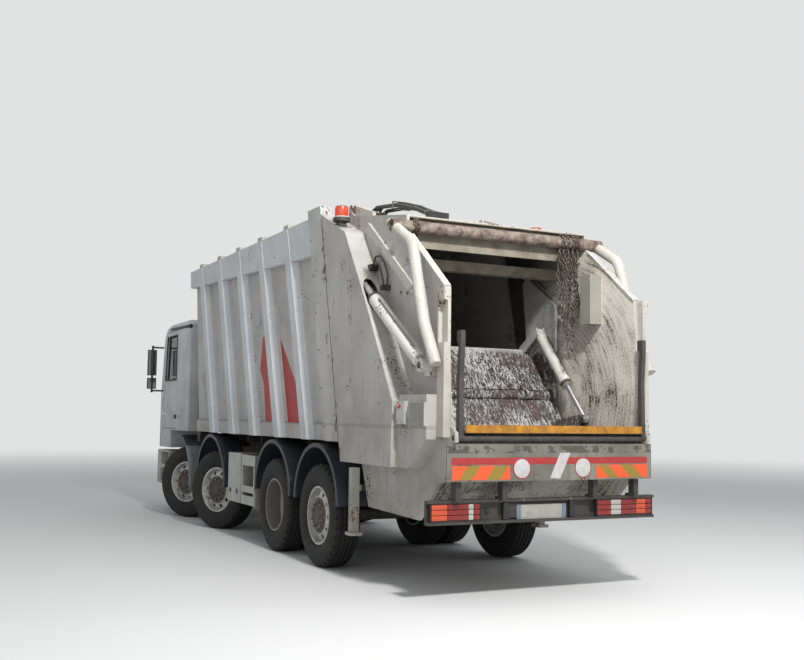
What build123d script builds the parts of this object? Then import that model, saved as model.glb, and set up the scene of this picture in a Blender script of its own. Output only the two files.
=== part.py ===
from build123d import *
import os
from math import atan2, cos, degrees, hypot, radians, sin, tan

# Rear loading refuse truck on four axles. Millimetres, +X to the front, +Y to the left, +Z up.
# Stations along the truck are measured forward from the rear face of the tail bumper. On export they
# are shifted so that the origin is the ground point below the middle of the overall length.

# Overall
front_end = 9470.0
rear_end = -158.0
origin_station = (front_end + rear_end) / 2
body_half_width = 1250.0
shaft_gap = 0.05
seat_gap = 0.3
moving_gap = 8.0

# Tyres and rims
tyre_radius = 530.0
tyre_half_width = 150.0
tyre_bore = 292.0
bead_half_width = 112.0
bead_height = 14.0
rim_wall = 11.0
rim_flange = 12.0
wheel_track_half = 1070.0
twin_spacing = 340.0
disc_thickness = 14.0
disc_hole_count = 10
disc_hole_radius = 26.0
disc_hole_circle = 225.0
hub_radius = 92.0
drum_radius = 205.0
drum_wall = 15.0
spindle_radius = 40.0
spindle_length = 150.0
kingpin_half = 900.0
kingpin_radius = 25.0

# Axles: number, station, rest steering angle in degrees, twin tyres
axle_table = [
    ("1", 8030.0, 30.0, False),
    ("2", 6330.0, 24.0, False),
    ("3", 3780.0, 0.0, True),
    ("4", 2430.0, 0.0, False),
]
station_of = {number: station for number, station, angle, twin in axle_table}
steer_of = {number: angle for number, station, angle, twin in axle_table}

# Chassis
rail_outer = 400.0
rail_flange = 80.0
rail_web = 10.0
rail_bottom = 800.0
rail_top = 1080.0
rail_rear = 1950.0
rail_front = 9080.0
crossmember_stations = [2030.0, 3105.0, 4500.0, 5450.0, 7180.0, 9030.0]
spring_inner = 420.0
spring_width = 80.0
spring_thickness = 44.0
spring_seat = 650.0
spring_rise = 70.0

# Body box
body_bottom = 1310.0
body_floor_top = body_bottom + 35.0
body_roof_top = 3700.0
body_wall_inner = 1130.0
body_panel_outer = 1150.0
roof_thickness = 50.0
# Seam between body and tailgate: a plane that leans forward as it rises
seam_low_station = 1802.0
seam_low_height = 1310.0
seam_lean = 0.246
post_length = 360.0
frame_top = body_roof_top
post_top = body_roof_top + 90.0
front_wall_low = 7250.0
front_wall_high = 7635.0
front_wall_thickness = 45.0
# Side ribs: station at the top edge, station at the bottom edge
rib_table = [
    (7030.0, 6220.0),
    (6130.0, 5310.0),
    (5270.0, 4470.0),
    (4390.0, 3580.0),
    (3460.0, 2710.0),
]
rib_base = 290.0
rib_crest = 170.0
top_beam_front = body_roof_top - 250.0
top_beam_rear = body_roof_top - 420.0
sill_height = 170.0
sill_depth = 30.0

# Tailgate
tail_gap = 12.0
tail_wall_inner = 1000.0
tail_wall = 30.0
tail_skin = 25.0
tail_hinge = (2460.0, body_roof_top + 100.0)
tail_pin_radius = 25.0
tail_top_front = body_roof_top - 10.0
tail_top_rear = 3440.0
tail_rear_bar = (800.0, 3330.0)
tail_bar_radius = 60.0

# Packer: slide direction, blade pivot and its lowest place
slide_angle = 33.7
slide_down = 350.0
slide_up = 250.0
blade_pivot = (1300.0, 1800.0)
blade_slope = 55.0
blade_length = 840.0
bowl_clearance = 20.0
bowl_plate = 14.0
bowl_front_slope = 50.0
lip_station = -60.0
lip_height = 1440.0
lip_rear = -146.0
lip_half = 930.0
lip_guard = 66.0
blade_half_width = 960.0


def seam(height):
    """Station of the seam at a height."""
    return seam_low_station + (height - seam_low_height) * seam_lean


def box(x, y, z):
    """Block between three pairs of limits."""
    size = (x[1] - x[0], y[1] - y[0], z[1] - z[0])
    centre = ((x[0] + x[1]) / 2, (y[0] + y[1]) / 2, (z[0] + z[1]) / 2)
    return Pos(*centre) * Box(*size)


def side_plate(points, y_low, y_high):
    """Plate whose outline is given by station and height, between two offsets to the side."""
    outline = Polyline(*[(x, y_low, z) for x, z in points], close=True)
    return extrude(make_face(outline), amount=y_high - y_low, dir=(0, 1, 0))


def bar(start, end, radius):
    """Round bar between two points."""
    line = Vector(*end) - Vector(*start)
    plane = Plane(origin=start, z_dir=line)
    return extrude(plane * Circle(radius), amount=line.length)


def cross_bar(station, height, radius, y_low, y_high):
    """Round bar across the truck."""
    return bar((station, y_low, height), (station, y_high, height), radius)


def turned(points):
    """Solid turned about the Y axis from pairs of offset and radius."""
    outline = Polyline(*[(0, y, r) for y, r in points], close=True)
    return revolve(make_face(outline), Axis.Y)


def pair(shape):
    """A shape and its mirror image, as two solids."""
    return Compound(list(shape.solids()) + list(mirror(shape, about=Plane.XZ).solids()))


def group(*shapes):
    """Several solids that stay apart."""
    return Compound([solid for shape in shapes for solid in shape.solids()])


def along(start, angle, distance, aside=0.0):
    """Point at a distance from another along a rising line, and aside of it to the rear."""
    x = start[0] + distance * cos(radians(angle)) - aside * sin(radians(angle))
    z = start[1] + distance * sin(radians(angle)) + aside * cos(radians(angle))
    return (x, z)


def strip(start, end, thickness):
    """Four corners of a straight strip on the left side of its line."""
    angle = degrees(atan2(end[1] - start[1], end[0] - start[0]))
    return [start, end, along(end, angle, 0, thickness), along(start, angle, 0, thickness)]


# Wheels

def tyre_solid():
    """Tyre about the Y axis, with a bulged side wall and a rounded shoulder."""
    half = tyre_half_width
    bead = bead_half_width
    bead_top = tyre_bore + bead_height
    shoulder = (half - 16, tyre_radius - 26)
    crown = (half - 38, tyre_radius - 3)
    edges = [
        Line((0, -bead, tyre_bore), (0, bead, tyre_bore)),
        Line((0, bead, tyre_bore), (0, bead, bead_top)),
        ThreePointArc((0, bead, bead_top), (0, half, tyre_bore + 110), (0, *shoulder)),
        Line((0, *shoulder), (0, *crown)),
        ThreePointArc((0, *crown), (0, 0, tyre_radius), (0, -crown[0], crown[1])),
        Line((0, -crown[0], crown[1]), (0, -shoulder[0], shoulder[1])),
        ThreePointArc((0, -shoulder[0], shoulder[1]), (0, -half, tyre_bore + 110), (0, -bead, bead_top)),
        Line((0, -bead, bead_top), (0, -bead, tyre_bore)),
    ]
    return revolve(make_face(edges), Axis.Y)


def rim_barrel():
    """Rim well with its two flanges."""
    outer = tyre_bore - seat_gap
    edge = bead_half_width + seat_gap
    ring = turned([(-edge, outer), (edge, outer), (edge, outer - rim_wall), (-edge, outer - rim_wall)])
    for side in (-1, 1):
        low = edge * side
        high = (edge + rim_flange) * side
        top = outer + rim_flange
        ring += turned([(low, outer - rim_wall), (low, top - 1), (high, top - 1), (high, outer - rim_wall)])
    return ring


def wheel_disc(root_offset, face_offset):
    """Dished disc from the rim well to the hub face, with a ring of hand holes."""
    outer = tyre_bore - seat_gap - rim_wall + 2
    inner = 168.0
    t = disc_thickness
    disc = turned([
        (root_offset, outer),
        (root_offset + t, outer),
        (face_offset + t, inner),
        (face_offset + t, hub_radius - 10),
        (face_offset, hub_radius - 10),
        (face_offset, inner),
    ])
    low = min(root_offset, face_offset) - t
    high = max(root_offset, face_offset) + 2 * t
    hole = Pos(0, 0, disc_hole_circle) * bar((0, low, 0), (0, high, 0), disc_hole_radius)
    for i in range(disc_hole_count):
        disc -= Rot(0, 360 / disc_hole_count * (i + 0.5), 0) * hole
    return disc


def hub_and_drum(face_offset, drum_inner, drum_outer, hub_inner, hub_outer, bore_end, cap_end):
    """Hub bored for the spindle, closed by its cap, with the brake drum on a web."""
    bore = spindle_radius + shaft_gap
    solid = turned([
        (hub_inner, bore),
        (hub_inner, hub_radius),
        (hub_outer, hub_radius),
        (cap_end, hub_radius - 22),
        (cap_end, 0),
        (bore_end, 0),
        (bore_end, bore),
    ])
    solid += turned([
        (drum_inner, drum_radius),
        (drum_outer, drum_radius),
        (drum_outer, hub_radius - 5),
        (drum_outer - drum_wall, hub_radius - 5),
        (drum_outer - drum_wall, drum_radius - drum_wall),
        (drum_inner, drum_radius - drum_wall),
    ])
    return solid


def single_rim():
    """Rim of a single wheel, its middle on the tyre's middle and its dish outboard."""
    rim = rim_barrel() + wheel_disc(56, 106)
    rim += hub_and_drum(106, -80, 30, -60, 120, spindle_length - 85, 144)
    return rim


def twin_rim():
    """Two rims face to face on one hub, about the outer tyre's middle."""
    half = twin_spacing / 2
    t = disc_thickness
    rim = rim_barrel() + wheel_disc(-60, -half)
    inner = rim_barrel() + mirror(wheel_disc(-60, -half), about=Plane.XZ)
    rim += Pos(0, -twin_spacing, 0) * inner
    rim += hub_and_drum(-half, -half - 260, -half - t - 20, -half - 120, -half + 90, -half + 60, -half + 110)
    return rim


def place_wheel(number, side, shape):
    """Puts a wheel shape on its axle, turned by the steering where the axle steers."""
    if side < 0:
        shape = mirror(shape, about=Plane.XZ)
    station = station_of[number]
    if number in ("1", "2"):
        offset = (wheel_track_half - kingpin_half) * side
        pivot = Pos(station, kingpin_half * side, tyre_radius)
        return pivot * Rot(0, 0, steer_of[number]) * Pos(0, offset, 0) * shape
    return Pos(station, wheel_track_half * side, tyre_radius) * shape


def wheels():
    """All tyres and rims by node name."""
    parts = {}
    tyre = tyre_solid()
    twin_tyre = group(tyre, Pos(0, -twin_spacing, 0) * tyre)
    rim = single_rim()
    twin = twin_rim()
    for number, station, angle, is_twin in axle_table:
        for side, word in ((1, "left"), (-1, "right")):
            rubber = twin_tyre if is_twin else tyre
            steel = twin if is_twin else rim
            parts[f"tyre_{number}_{word}"] = place_wheel(number, side, rubber)
            parts[f"rim_{number}_{word}"] = place_wheel(number, side, steel)
    return parts


# Axles and steering

fist_half = 80.0
fist_radius = 58.0
lug_gap = 10.0
lug_height = 42.0
knuckle_web = (-102.0, -84.0)
track_arm = 160.0


def front_axle(number):
    """Forged beam with a fist round each kingpin and a seat for each spring."""
    station = station_of[number]
    z = tyre_radius
    beam = box((station - 45, station + 45), (-kingpin_half + 20, kingpin_half - 20), (z - 60, z + 50))
    for side in (-1, 1):
        y = kingpin_half * side
        beam += bar((station, y, z - fist_half), (station, y, z + fist_half), fist_radius)
        seat = sorted((side * (spring_inner - 10), side * (spring_inner + spring_width + 10)))
        beam += box((station - 80, station + 80), seat, (z + 40, spring_seat))
    for side in (-1, 1):
        y = kingpin_half * side
        bore = kingpin_radius + shaft_gap
        beam -= bar((station, y, z - 2 * fist_half), (station, y, z + 2 * fist_half), bore)
    return beam


def knuckle(number, side):
    """Steering knuckle: yoke, kingpin, spindle, brake back plate and track arm."""
    low = -fist_half - lug_gap - lug_height
    high = fist_half + lug_gap + lug_height
    offset = wheel_track_half - kingpin_half
    web = (offset + knuckle_web[0], offset + knuckle_web[1])
    shape = bar((0, 0, low), (0, 0, high), kingpin_radius)
    for z in (low, high - lug_height):
        shape += box((-50, 50), (-50, web[1]), (z, z + lug_height))
    shape += box((-60, 60), web, (low, high))
    shape += bar((0, web[0], 0), (0, web[1] + 8, 0), drum_radius - drum_wall - moving_gap)
    shape += bar((0, web[1], 0), (0, web[1] + spindle_length - 2, 0), spindle_radius)
    shape += box((-track_arm - 25, -30), (-50, -10), (low, low + 24))
    if side < 0:
        shape = mirror(shape, about=Plane.XZ)
    pivot = Pos(station_of[number], kingpin_half * side, tyre_radius)
    return pivot * Rot(0, 0, steer_of[number]) * shape


def rear_axles():
    """Driven axle with its differential case, and the plain axle behind it."""
    z = tyre_radius
    y_face = wheel_track_half - twin_spacing / 2
    station = station_of["3"]
    tube_end = y_face - 262
    drive = cross_bar(station, z, 75, -tube_end, tube_end)
    end = y_face + 58
    drive += cross_bar(station, z, spindle_radius, -end, end)
    drive += Pos(station, 0, z) * Sphere(210)
    drive += bar((station, 0, z + 20), (station + 330, 0, z + 60), 75)
    drive += propshaft()
    station = station_of["4"]
    tube_end = wheel_track_half - 92
    end = wheel_track_half - 84 + spindle_length - 2
    tag = cross_bar(station, z, 62, -tube_end, tube_end)
    tag += cross_bar(station, z, spindle_radius, -end, end)
    for solid_station in (station_of["3"], station_of["4"]):
        for side in (-1, 1):
            seat = sorted((side * (spring_inner - 10), side * (spring_inner + spring_width + 10)))
            block = box((solid_station - 75, solid_station + 75), seat, (z, spring_seat))
            if solid_station == station_of["3"]:
                drive += block
            else:
                tag += block
    return group(drive, tag)


def springs():
    """Leaf springs with hangers on the rail's outer face."""
    solids = []
    for number, half_length in (("1", 700.0), ("2", 700.0), ("3", 560.0), ("4", 440.0)):
        station = station_of[number]
        low, high = spring_seat, spring_seat + spring_thickness
        rise = spring_rise
        edges = [
            ThreePointArc(
                (station - half_length, spring_inner, low + rise),
                (station, spring_inner, low),
                (station + half_length, spring_inner, low + rise),
            ),
            Line(
                (station + half_length, spring_inner, low + rise),
                (station + half_length, spring_inner, high + rise),
            ),
            ThreePointArc(
                (station + half_length, spring_inner, high + rise),
                (station, spring_inner, high),
                (station - half_length, spring_inner, high + rise),
            ),
            Line(
                (station - half_length, spring_inner, high + rise),
                (station - half_length, spring_inner, low + rise),
            ),
        ]
        leaf = extrude(make_face(edges), amount=spring_width, dir=(0, 1, 0))
        for end in (-1, 1):
            x = station + end * (half_length - 30)
            hanger = box((x - 35, x + 35), (rail_outer, spring_inner + spring_width), (low + rise - 8, 960))
            leaf += hanger
        solids += list(pair(leaf).solids())
    return Compound(solids)


# Chassis

def chassis():
    """Two channel rails with their crossmembers."""
    frame = None
    for side in (-1, 1):
        y_web = sorted((side * (rail_outer - rail_web), side * rail_outer))
        y_all = sorted((side * (rail_outer - rail_flange), side * rail_outer))
        rail = box((rail_rear, rail_front), y_web, (rail_bottom, rail_top))
        rail += box((rail_rear, rail_front), y_all, (rail_bottom, rail_bottom + rail_web))
        rail += box((rail_rear, rail_front), y_all, (rail_top - rail_web, rail_top))
        frame = rail if frame is None else frame + rail
    inner = rail_outer - rail_web
    for station in crossmember_stations:
        frame += box((station - 40, station + 40), (-inner, inner), (rail_bottom + 80, rail_top - 60))
    for side in (-1, 1):
        y = sorted((side * (rail_outer - 70), side * rail_outer))
        frame += box((7760, 7840), y, (rail_top - 5, cab_floor_high - seat_gap))
        for x in engine_mount_stations:
            mount = sorted((side * (engine_half + seat_gap), side * (inner + 2)))
            frame += box((x - 50, x + 50), mount, (880, 950))
    return frame


engine_rear = 7620.0
engine_front = 8960.0
engine_half = 300.0
engine_mount_stations = [7770.0, 8670.0]


def engine():
    """Engine as one plain block between the rails."""
    return box((engine_rear, engine_front), (-engine_half, engine_half), (640, 1270))


def propshaft():
    """Shaft from the gearbox to the differential."""
    return bar((engine_rear - 4, 0, 850), (station_of["3"] + 320, 0, tyre_radius + 58), 45)


# Cab

cab_rear = 7720.0
cab_front = 9450.0
cab_half = 1215.0
cab_wall = 50.0
cab_floor_low = 1020.0
cab_floor_high = 1300.0
cab_step_station = 8700.0
cab_waist = 1900.0
cab_roof = 3000.0
tilt_pivot = (9380.0, 900.0)
tilt_pin = 22.0
tilt_arm_inner = 480.0
tilt_arm_outer = 540.0
tunnel_half = 450.0
cab_corner_radius = 70.0
cab_roof_radius = 40.0
door_rear = 8310.0
door_front = 9190.0
door_bottom = 1330.0
door_gap = 8.0
door_axis_ahead = 7.0
door_axis_out = 18.0
cab_outline = [
    (cab_rear, cab_floor_high),
    (cab_step_station, cab_floor_high),
    (cab_step_station, cab_floor_low),
    (cab_front, cab_floor_low),
    (cab_front, cab_waist),
    (9290.0, 2800.0),
    (9130.0, 2960.0),
    (8900.0, cab_roof),
    (7830.0, cab_roof),
    (cab_rear, 2930.0),
]
door_outline = [
    (door_rear, door_bottom),
    (door_front, door_bottom),
    (door_front, 1950.0),
    (9090.0, 2860.0),
    (door_rear, 2880.0),
]
window_outline = [
    (door_rear + 90, 2090.0),
    (door_front - 85, 2090.0),
    (9025.0, 2790.0),
    (door_rear + 90, 2800.0),
]


def grown(points, distance):
    """Outline moved outward by a distance, or inward where it is negative."""
    face = make_face(Polyline(*[(x, z) for x, z in points], close=True))
    moved = offset(face, amount=distance, kind=Kind.INTERSECTION)
    corners = moved.face().outer_wire().order_edges()
    return [((edge @ 0).X, (edge @ 0).Y) for edge in corners]


def on_cab_rim(point):
    """True for the cab's roof, windscreen and front edges."""
    return point.Z > 2850 or (point.X > 9200 and point.Z > cab_floor_low + 50)


def cab_shell():
    """Hollow cab with its openings for doors, windscreen and rear glass."""
    shell = side_plate(cab_outline, -cab_half, cab_half)
    rims = [e for e in shell.edges() if abs(abs(e.center().Y) - cab_half) < 1 and on_cab_rim(e.center())]
    shell = fillet(rims, cab_corner_radius)
    crossing = [e for e in shell.edges() if abs(e.center().Y) < 1 and e.length > 2000]
    corners = [e for e in crossing if on_cab_rim(e.center())]
    shell = fillet(corners, cab_roof_radius)
    inside = grown(cab_outline, -cab_wall)
    shell -= side_plate(inside, -cab_half + cab_wall, cab_half - cab_wall)
    tunnel = tunnel_half + cab_wall
    tunnel_top = cab_floor_high + cab_wall
    shell += box((cab_step_station - cab_wall, cab_front), (-tunnel, tunnel), (cab_floor_low, tunnel_top))
    shell -= box((cab_step_station - 100, cab_front + 10), (-tunnel_half, tunnel_half), (900, cab_floor_high))
    doorway = grown(door_outline, door_gap)
    shell -= side_plate(doorway, -cab_half - 10, -cab_half + cab_wall + 10)
    shell -= side_plate(doorway, cab_half - cab_wall - 10, cab_half + 10)
    shell -= box((9150, cab_front + 50), (-cab_half + 90, cab_half - 90), (2010, 2740))
    for side in (-1, 1):
        for height in door_hinge_heights:
            shell += hinge_pin_holder(side, height)
        arm = sorted((side * tilt_arm_inner, side * tilt_arm_outer))
        x, z = tilt_pivot
        shell += box((x - 40, x + 40), arm, (z, cab_floor_low + 5)) + cross_bar(x, z, 40, *arm)
        shell -= cross_bar(x, z, tilt_pin + shaft_gap, arm[0] - 5, arm[1] + 5)
    return shell


def windscreen():
    """Sloping glass in its opening."""
    slope = (9290.0 - cab_front) / (2800.0 - cab_waist)
    low = (cab_front - 30 + slope * (2010 - cab_waist), 2010.0)
    high = (cab_front - 30 + slope * (2740 - cab_waist), 2740.0)
    points = [low, (low[0] + 8, low[1]), (high[0] + 8, high[1]), high]
    return side_plate(points, -cab_half + 90, cab_half - 90)


def hinge_pin_holder(side, height):
    """Pin on two small brackets at the front edge of a doorway."""
    x, y = door_front + door_axis_ahead, side * (cab_half + door_axis_out)
    shape = bar((x, y, height - 55), (x, y, height + 55), 8)
    for z in (height - 55, height + 37):
        spread = sorted((side * cab_half, side * (cab_half + door_axis_out + 8)))
        shape += box((x - 6, x + 60), spread, (z, z + 18))
    return shape


def door(side):
    """Door panel with its window cut, and two knuckles round the hinge pins."""
    limits = sorted((side * (cab_half - cab_wall), side * cab_half))
    panel = side_plate(door_outline, *limits)
    panel -= side_plate(window_outline, limits[0] - 10, limits[1] + 10)
    x, y = door_front + door_axis_ahead, side * (cab_half + door_axis_out)
    for height in door_hinge_heights:
        leaf_y = sorted((side * cab_half, side * (cab_half + 12)))
        panel += box((x - 90, x - 9), leaf_y, (height - 28, height + 28))
        panel += bar((x, y, height - 28), (x, y, height + 28), 15)
        panel -= bar((x, y, height - 30), (x, y, height + 30), 8 + shaft_gap)
    return panel


door_hinge_heights = (1560.0, 1860.0)


def door_glass(side):
    """Pane in the door's window."""
    limits = sorted((side * (cab_half - 30), side * (cab_half - 24)))
    return side_plate(window_outline, *limits)


def cab_front_panel():
    """Grille panel with slats under the windscreen."""
    panel = box((cab_front, cab_front + 20), (-900, 900), (1060, 1760))
    for i in range(5):
        z = 1110 + i * 125
        panel -= box((cab_front - 1, cab_front + 30), (-820, 820), (z, z + 70))
        panel += box((cab_front, cab_front + 12), (-30, 30), (z - 5, z + 75))
    return panel


def cab_interior():
    """Dashboard, two seats and the steering column."""
    dash = box((9080, 9390), (-1150, 1150), (1420, 1900))
    wide = cab_half - cab_wall - seat_gap
    dash += box((9215, 9390), (-wide, wide), (1420, 1900))
    seats = []
    for y in (640.0, -640.0):
        seat = box((7980, 8480), (y - 250, y + 250), (1350, 1700))
        seat += side_plate([(7930, 1690), (8070, 1690), (7960, 2420), (7830, 2420)], y - 240, y + 240)
        seats.append(seat)
    column = bar((9080, 640, 1800), (8840, 640, 2000), 30)
    ring = Pos(8840, 640, 2010) * Rot(0, -50, 0) * Torus(220, 16)
    spoke = Pos(8840, 640, 2010) * Rot(0, -50, 0) * Box(420, 40, 16)
    return group(dash + column + ring + spoke, *seats)


def mirrors():
    """Mirror arms and heads in front of the doors."""
    solids = []
    for side in (-1, 1):
        y_in, y_out = side * cab_half, side * 1400.0
        x = 9290.0
        arm = bar((x, y_out, 1900), (x, y_out, 2670), 18)
        arm += bar((x, y_in, 2640), (x, y_out, 2640), 14) + bar((x, y_in, 1930), (x, y_out, 1930), 14)
        heads = sorted((side * 1330.0, side * 1470.0))
        arm += box((x - 5, x + 55), heads, (2180, 2600))
        arm += box((x - 5, x + 55), heads, (1960, 2140))
        solids.append(arm)
    return group(*solids)


tow_lane = 350.0
bumper_low = 430.0
bumper_high = 970.0
tow_block = 45.0
tow_height = bumper_low + tow_block
tow_radius = 20.5
tow_depth = 120.0


def tow_socket(side):
    """Towing socket in its block, apart from the bumper."""
    y, z = side * tow_lane, tow_height
    rear = front_end - tow_depth - 15
    block = box((rear, front_end), (y - tow_block, y + tow_block), (bumper_low, z + tow_block))
    return block - bar((front_end - tow_depth, y, z), (front_end + 5, y, z), tow_radius)


def front_bumper():
    """Bumper with its lamp pockets, two towing sockets and an entry step at each side."""
    low, high = bumper_low, bumper_high
    back = front_end - 140
    shape = box((back, front_end), (-cab_half, cab_half), (low, high))
    shape -= box((back - 10, front_end - 60), (-cab_half + 60, cab_half - 60), (low + 50, high - 50))
    for side in (-1, 1):
        y = side * tow_lane
        wide = tow_block + seat_gap
        notch = (low - 5, tow_height + wide)
        shape -= box((front_end - tow_depth - 15 - seat_gap, front_end + 5), (y - wide, y + wide), notch)
        pocket = sorted((side * 700, side * 1120))
        shape -= box((front_end - 50, front_end + 10), pocket, (650, 850))
        y = sorted((side * 930, side * cab_half))
        step = box((cab_step_station + 20, back), y, (low, high))
        for z in (480, 740):
            cut = sorted((side * 990, side * (cab_half + 10)))
            step -= box((cab_step_station + 60, back - 60), cut, (z, z + 200))
        shape += step
    x, z = tilt_pivot
    for side in (-1, 1):
        notch = sorted((side * (tilt_arm_inner - moving_gap), side * (tilt_arm_outer + moving_gap)))
        shape -= box((back - 30, front_end - 30), notch, (z - 60, high + 5))
        shape -= box((front_end - 40, front_end + 5), notch, (z - 20, high + 5))
        arm = sorted((side * (rail_outer - 60), side * rail_outer))
        shape += box((rail_front, x + 29), arm, (rail_bottom, rail_top - 120))
        pin = sorted((side * (rail_outer - 10), side * (tilt_arm_outer + 12)))
        shape += cross_bar(x, z, tilt_pin, *pin)
    return group(shape, tow_socket(1), tow_socket(-1))


def headlamps():
    """Lamp units in the bumper's pockets."""
    unit = box((front_end - 50, front_end - 4), (704, 1116), (654, 846))
    return pair(unit)


def sun_visor():
    """Dark visor over the windscreen."""
    top = cab_roof - 200
    out = cab_front - 10
    points = [(cab_front - 160, top), (out, top - 40), (out + 6, top - 28), (cab_front - 270, top + 112)]
    return side_plate(points, -1100, 1100)


def air_intake():
    """Air intake stack and hose bundle behind the cab."""
    stack = box((7420, 7600), (820, 1080), (1150, 1900))
    return stack + box((7440, 7560), (rail_outer - 60, 830), (rail_top, 1180))


# Guards, boxes and lamps on the chassis

guard_sheet = 10.0
guard_inner = 920.0
guard_outer = 1240.0
flap_station = 7349.0
flap_low = 430.0
flap_high = 920.0
# Guards: axle, inner radius, height of centre, first and last angle from +X upward
guard_table = [
    ("1", 660.0, 570.0, 78.0, 186.0),
    ("2", 680.0, 596.0, 0.0, 180.0),
    ("3", 600.0, 670.0, 0.0, 180.0),
    ("4", 600.0, 670.0, 0.0, 180.0),
]


def arc_sheet(centre, radius, sheet, first, last, y_low, y_high):
    """Bent sheet on an arc in the side view."""
    def spot(r, angle):
        return (centre[0] + r * cos(radians(angle)), y_low, centre[1] + r * sin(radians(angle)))
    middle = (first + last) / 2
    outer = radius + sheet
    edges = [
        ThreePointArc(spot(radius, first), spot(radius, middle), spot(radius, last)),
        Line(spot(radius, last), spot(outer, last)),
        ThreePointArc(spot(outer, last), spot(outer, middle), spot(outer, first)),
        Line(spot(outer, first), spot(radius, first)),
    ]
    return extrude(make_face(edges), amount=y_high - y_low, dir=(0, 1, 0))


def guard(row):
    """One wheel guard with its outer lip and its bracket from the rail."""
    number, radius, height, first, last = row
    centre = (station_of[number], height)
    sheet = arc_sheet(centre, radius, guard_sheet, first, last, guard_inner, guard_outer)
    lip = arc_sheet(centre, radius - 34, 44, first, last, guard_outer - guard_sheet, guard_outer)
    top = 120 if number == "1" else 90
    spot = (centre[0] + (radius + 2) * cos(radians(top)), centre[1] + (radius + 2) * sin(radians(top)))
    arm = cross_bar(spot[0], spot[1] - 20, 22, rail_outer - 60, guard_inner + 40)
    drop = box((spot[0] - 25, spot[0] + 25), (rail_outer, rail_outer + 14), (rail_top - 160, spot[1] - 10))
    arm -= box((0, front_end), (0, rail_outer), (0, 3000))
    whole = sheet + lip + arm + drop
    if number == "1":
        flap_x = (flap_station, flap_station + 13)
        whole += box(flap_x, (guard_inner + 10, guard_outer), (flap_low, flap_high))
    return whole


def wheel_guards(rows):
    return group(*[pair(guard(row)) for row in rows])


def side_boxes():
    """Aluminium locker and step frame on the left, fuel tank on the right."""
    locker = box((4960, 5500), (900, 1225), (450, 1070))
    locker += box((5100, 5360), (rail_outer, 910), (880, 980))
    steps = box((4430, 4940), (960, 1225), (930, 1060))
    steps += box((4430, 4940), (960, 1225), (600, 680))
    steps += box((4430, 4940), (960, 1225), (450, 560))
    steps += box((4430, 4470), (960, 1225), (450, 1060))
    steps += box((4900, 4940), (960, 1225), (450, 1060))
    steps += box((4600, 4760), (rail_outer, 970), (940, 1020))
    tank = box((4430, 5480), (-1210, -620), (470, 1050))
    tank = fillet(tank.edges().filter_by(Axis.X), 90)
    tank += box((4600, 4760), (-630, -rail_outer), (880, 980))
    tank += box((5150, 5310), (-630, -rail_outer), (880, 980))
    return group(locker, steps, tank)


def rear_stands():
    """Square posts behind the rearmost wheels that hold the flap and the marker arm."""
    post = box((1690, 1770), (1060, 1140), (400, 1060))
    post += box((1650, 1800), (1040, 1160), (400, 430))
    post += box((1710, 1760), (rail_outer, 1060), (830, 890))
    post += box((1710, 1975), (rail_outer, rail_outer + 60), (830, 890))
    post += box((1700, 1810), (1080, 1120), (640, 680))
    return pair(post)


# Body

def lean_point(height):
    """Station of the body's front edge at a height."""
    span = body_roof_top - body_bottom
    return front_wall_low + (front_wall_high - front_wall_low) * (height - body_bottom) / span


def body_floor():
    """Floor plate on its subframe, with the guide rails of the ejector."""
    rear = seam(body_floor_top) + post_length
    half = body_wall_inner
    floor = box((rear, front_wall_low - 2), (-half, half), (body_bottom, body_floor_top))
    for side in (-1, 1):
        y = sorted((side * (rail_outer - 70), side * rail_outer))
        floor += box((rail_rear + 30, front_wall_low - 100), y, (rail_top, body_bottom))
        guide = sorted((side * 700, side * 760))
        floor += box((rear, 7150), guide, (body_floor_top, body_floor_top + 20))
    for i in range(9):
        x = rear + 150 + i * 560
        floor += box((x, x + 60), (-guard_inner + 20, guard_inner - 20), (body_bottom - 120, body_bottom))
    return floor


def body_side():
    """Left side: panel, leaning ribs, top beam and sill."""
    top = body_roof_top - roof_thickness
    rear_low = seam(body_bottom) + post_length
    rear_top = seam(body_roof_top) + post_length
    outline = [
        (rear_low, body_bottom),
        (front_wall_low, body_bottom),
        (front_wall_high, body_roof_top),
        (rear_top, body_roof_top),
    ]
    side = side_plate(outline, body_wall_inner, body_panel_outer)
    beam = [
        (seam(top_beam_rear) + post_length, top_beam_rear),
        (lean_point(top_beam_front), top_beam_front),
        (front_wall_high, body_roof_top),
        (rear_top, body_roof_top),
    ]
    side += side_plate(beam, body_wall_inner, body_half_width - 6)
    sill = [
        (rear_low, body_bottom),
        (front_wall_low, body_bottom),
        (lean_point(body_bottom + sill_height), body_bottom + sill_height),
        (seam(body_bottom + sill_height) + post_length, body_bottom + sill_height),
    ]
    side += side_plate(sill, body_wall_inner, body_panel_outer + sill_depth)
    height = body_roof_top - body_bottom
    for high, low in rib_table:
        base = [
            (low + rib_base / 2, body_panel_outer - 5, body_bottom),
            (low + rib_base / 2 - 25, body_half_width, body_bottom),
            (low + rib_base / 2 - 25 - rib_crest, body_half_width, body_bottom),
            (low - rib_base / 2, body_panel_outer - 5, body_bottom),
        ]
        face = make_face(Polyline(*base, close=True))
        lean = Vector(high - low, 0, height)
        side += extrude(face, amount=lean.length, dir=lean.normalized())
    return side


def body_roof():
    """Roof plate with a rib over each side rib."""
    y = body_wall_inner
    top = body_roof_top
    rear = seam(top) + post_length + 20
    roof = box((rear, front_wall_high - front_wall_thickness - 2), (-y, y), (top - roof_thickness, top))
    for high, low in rib_table:
        roof += box((high - 75, high + 75), (-body_half_width, body_half_width), (top, top + 45))
    return roof


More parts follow.
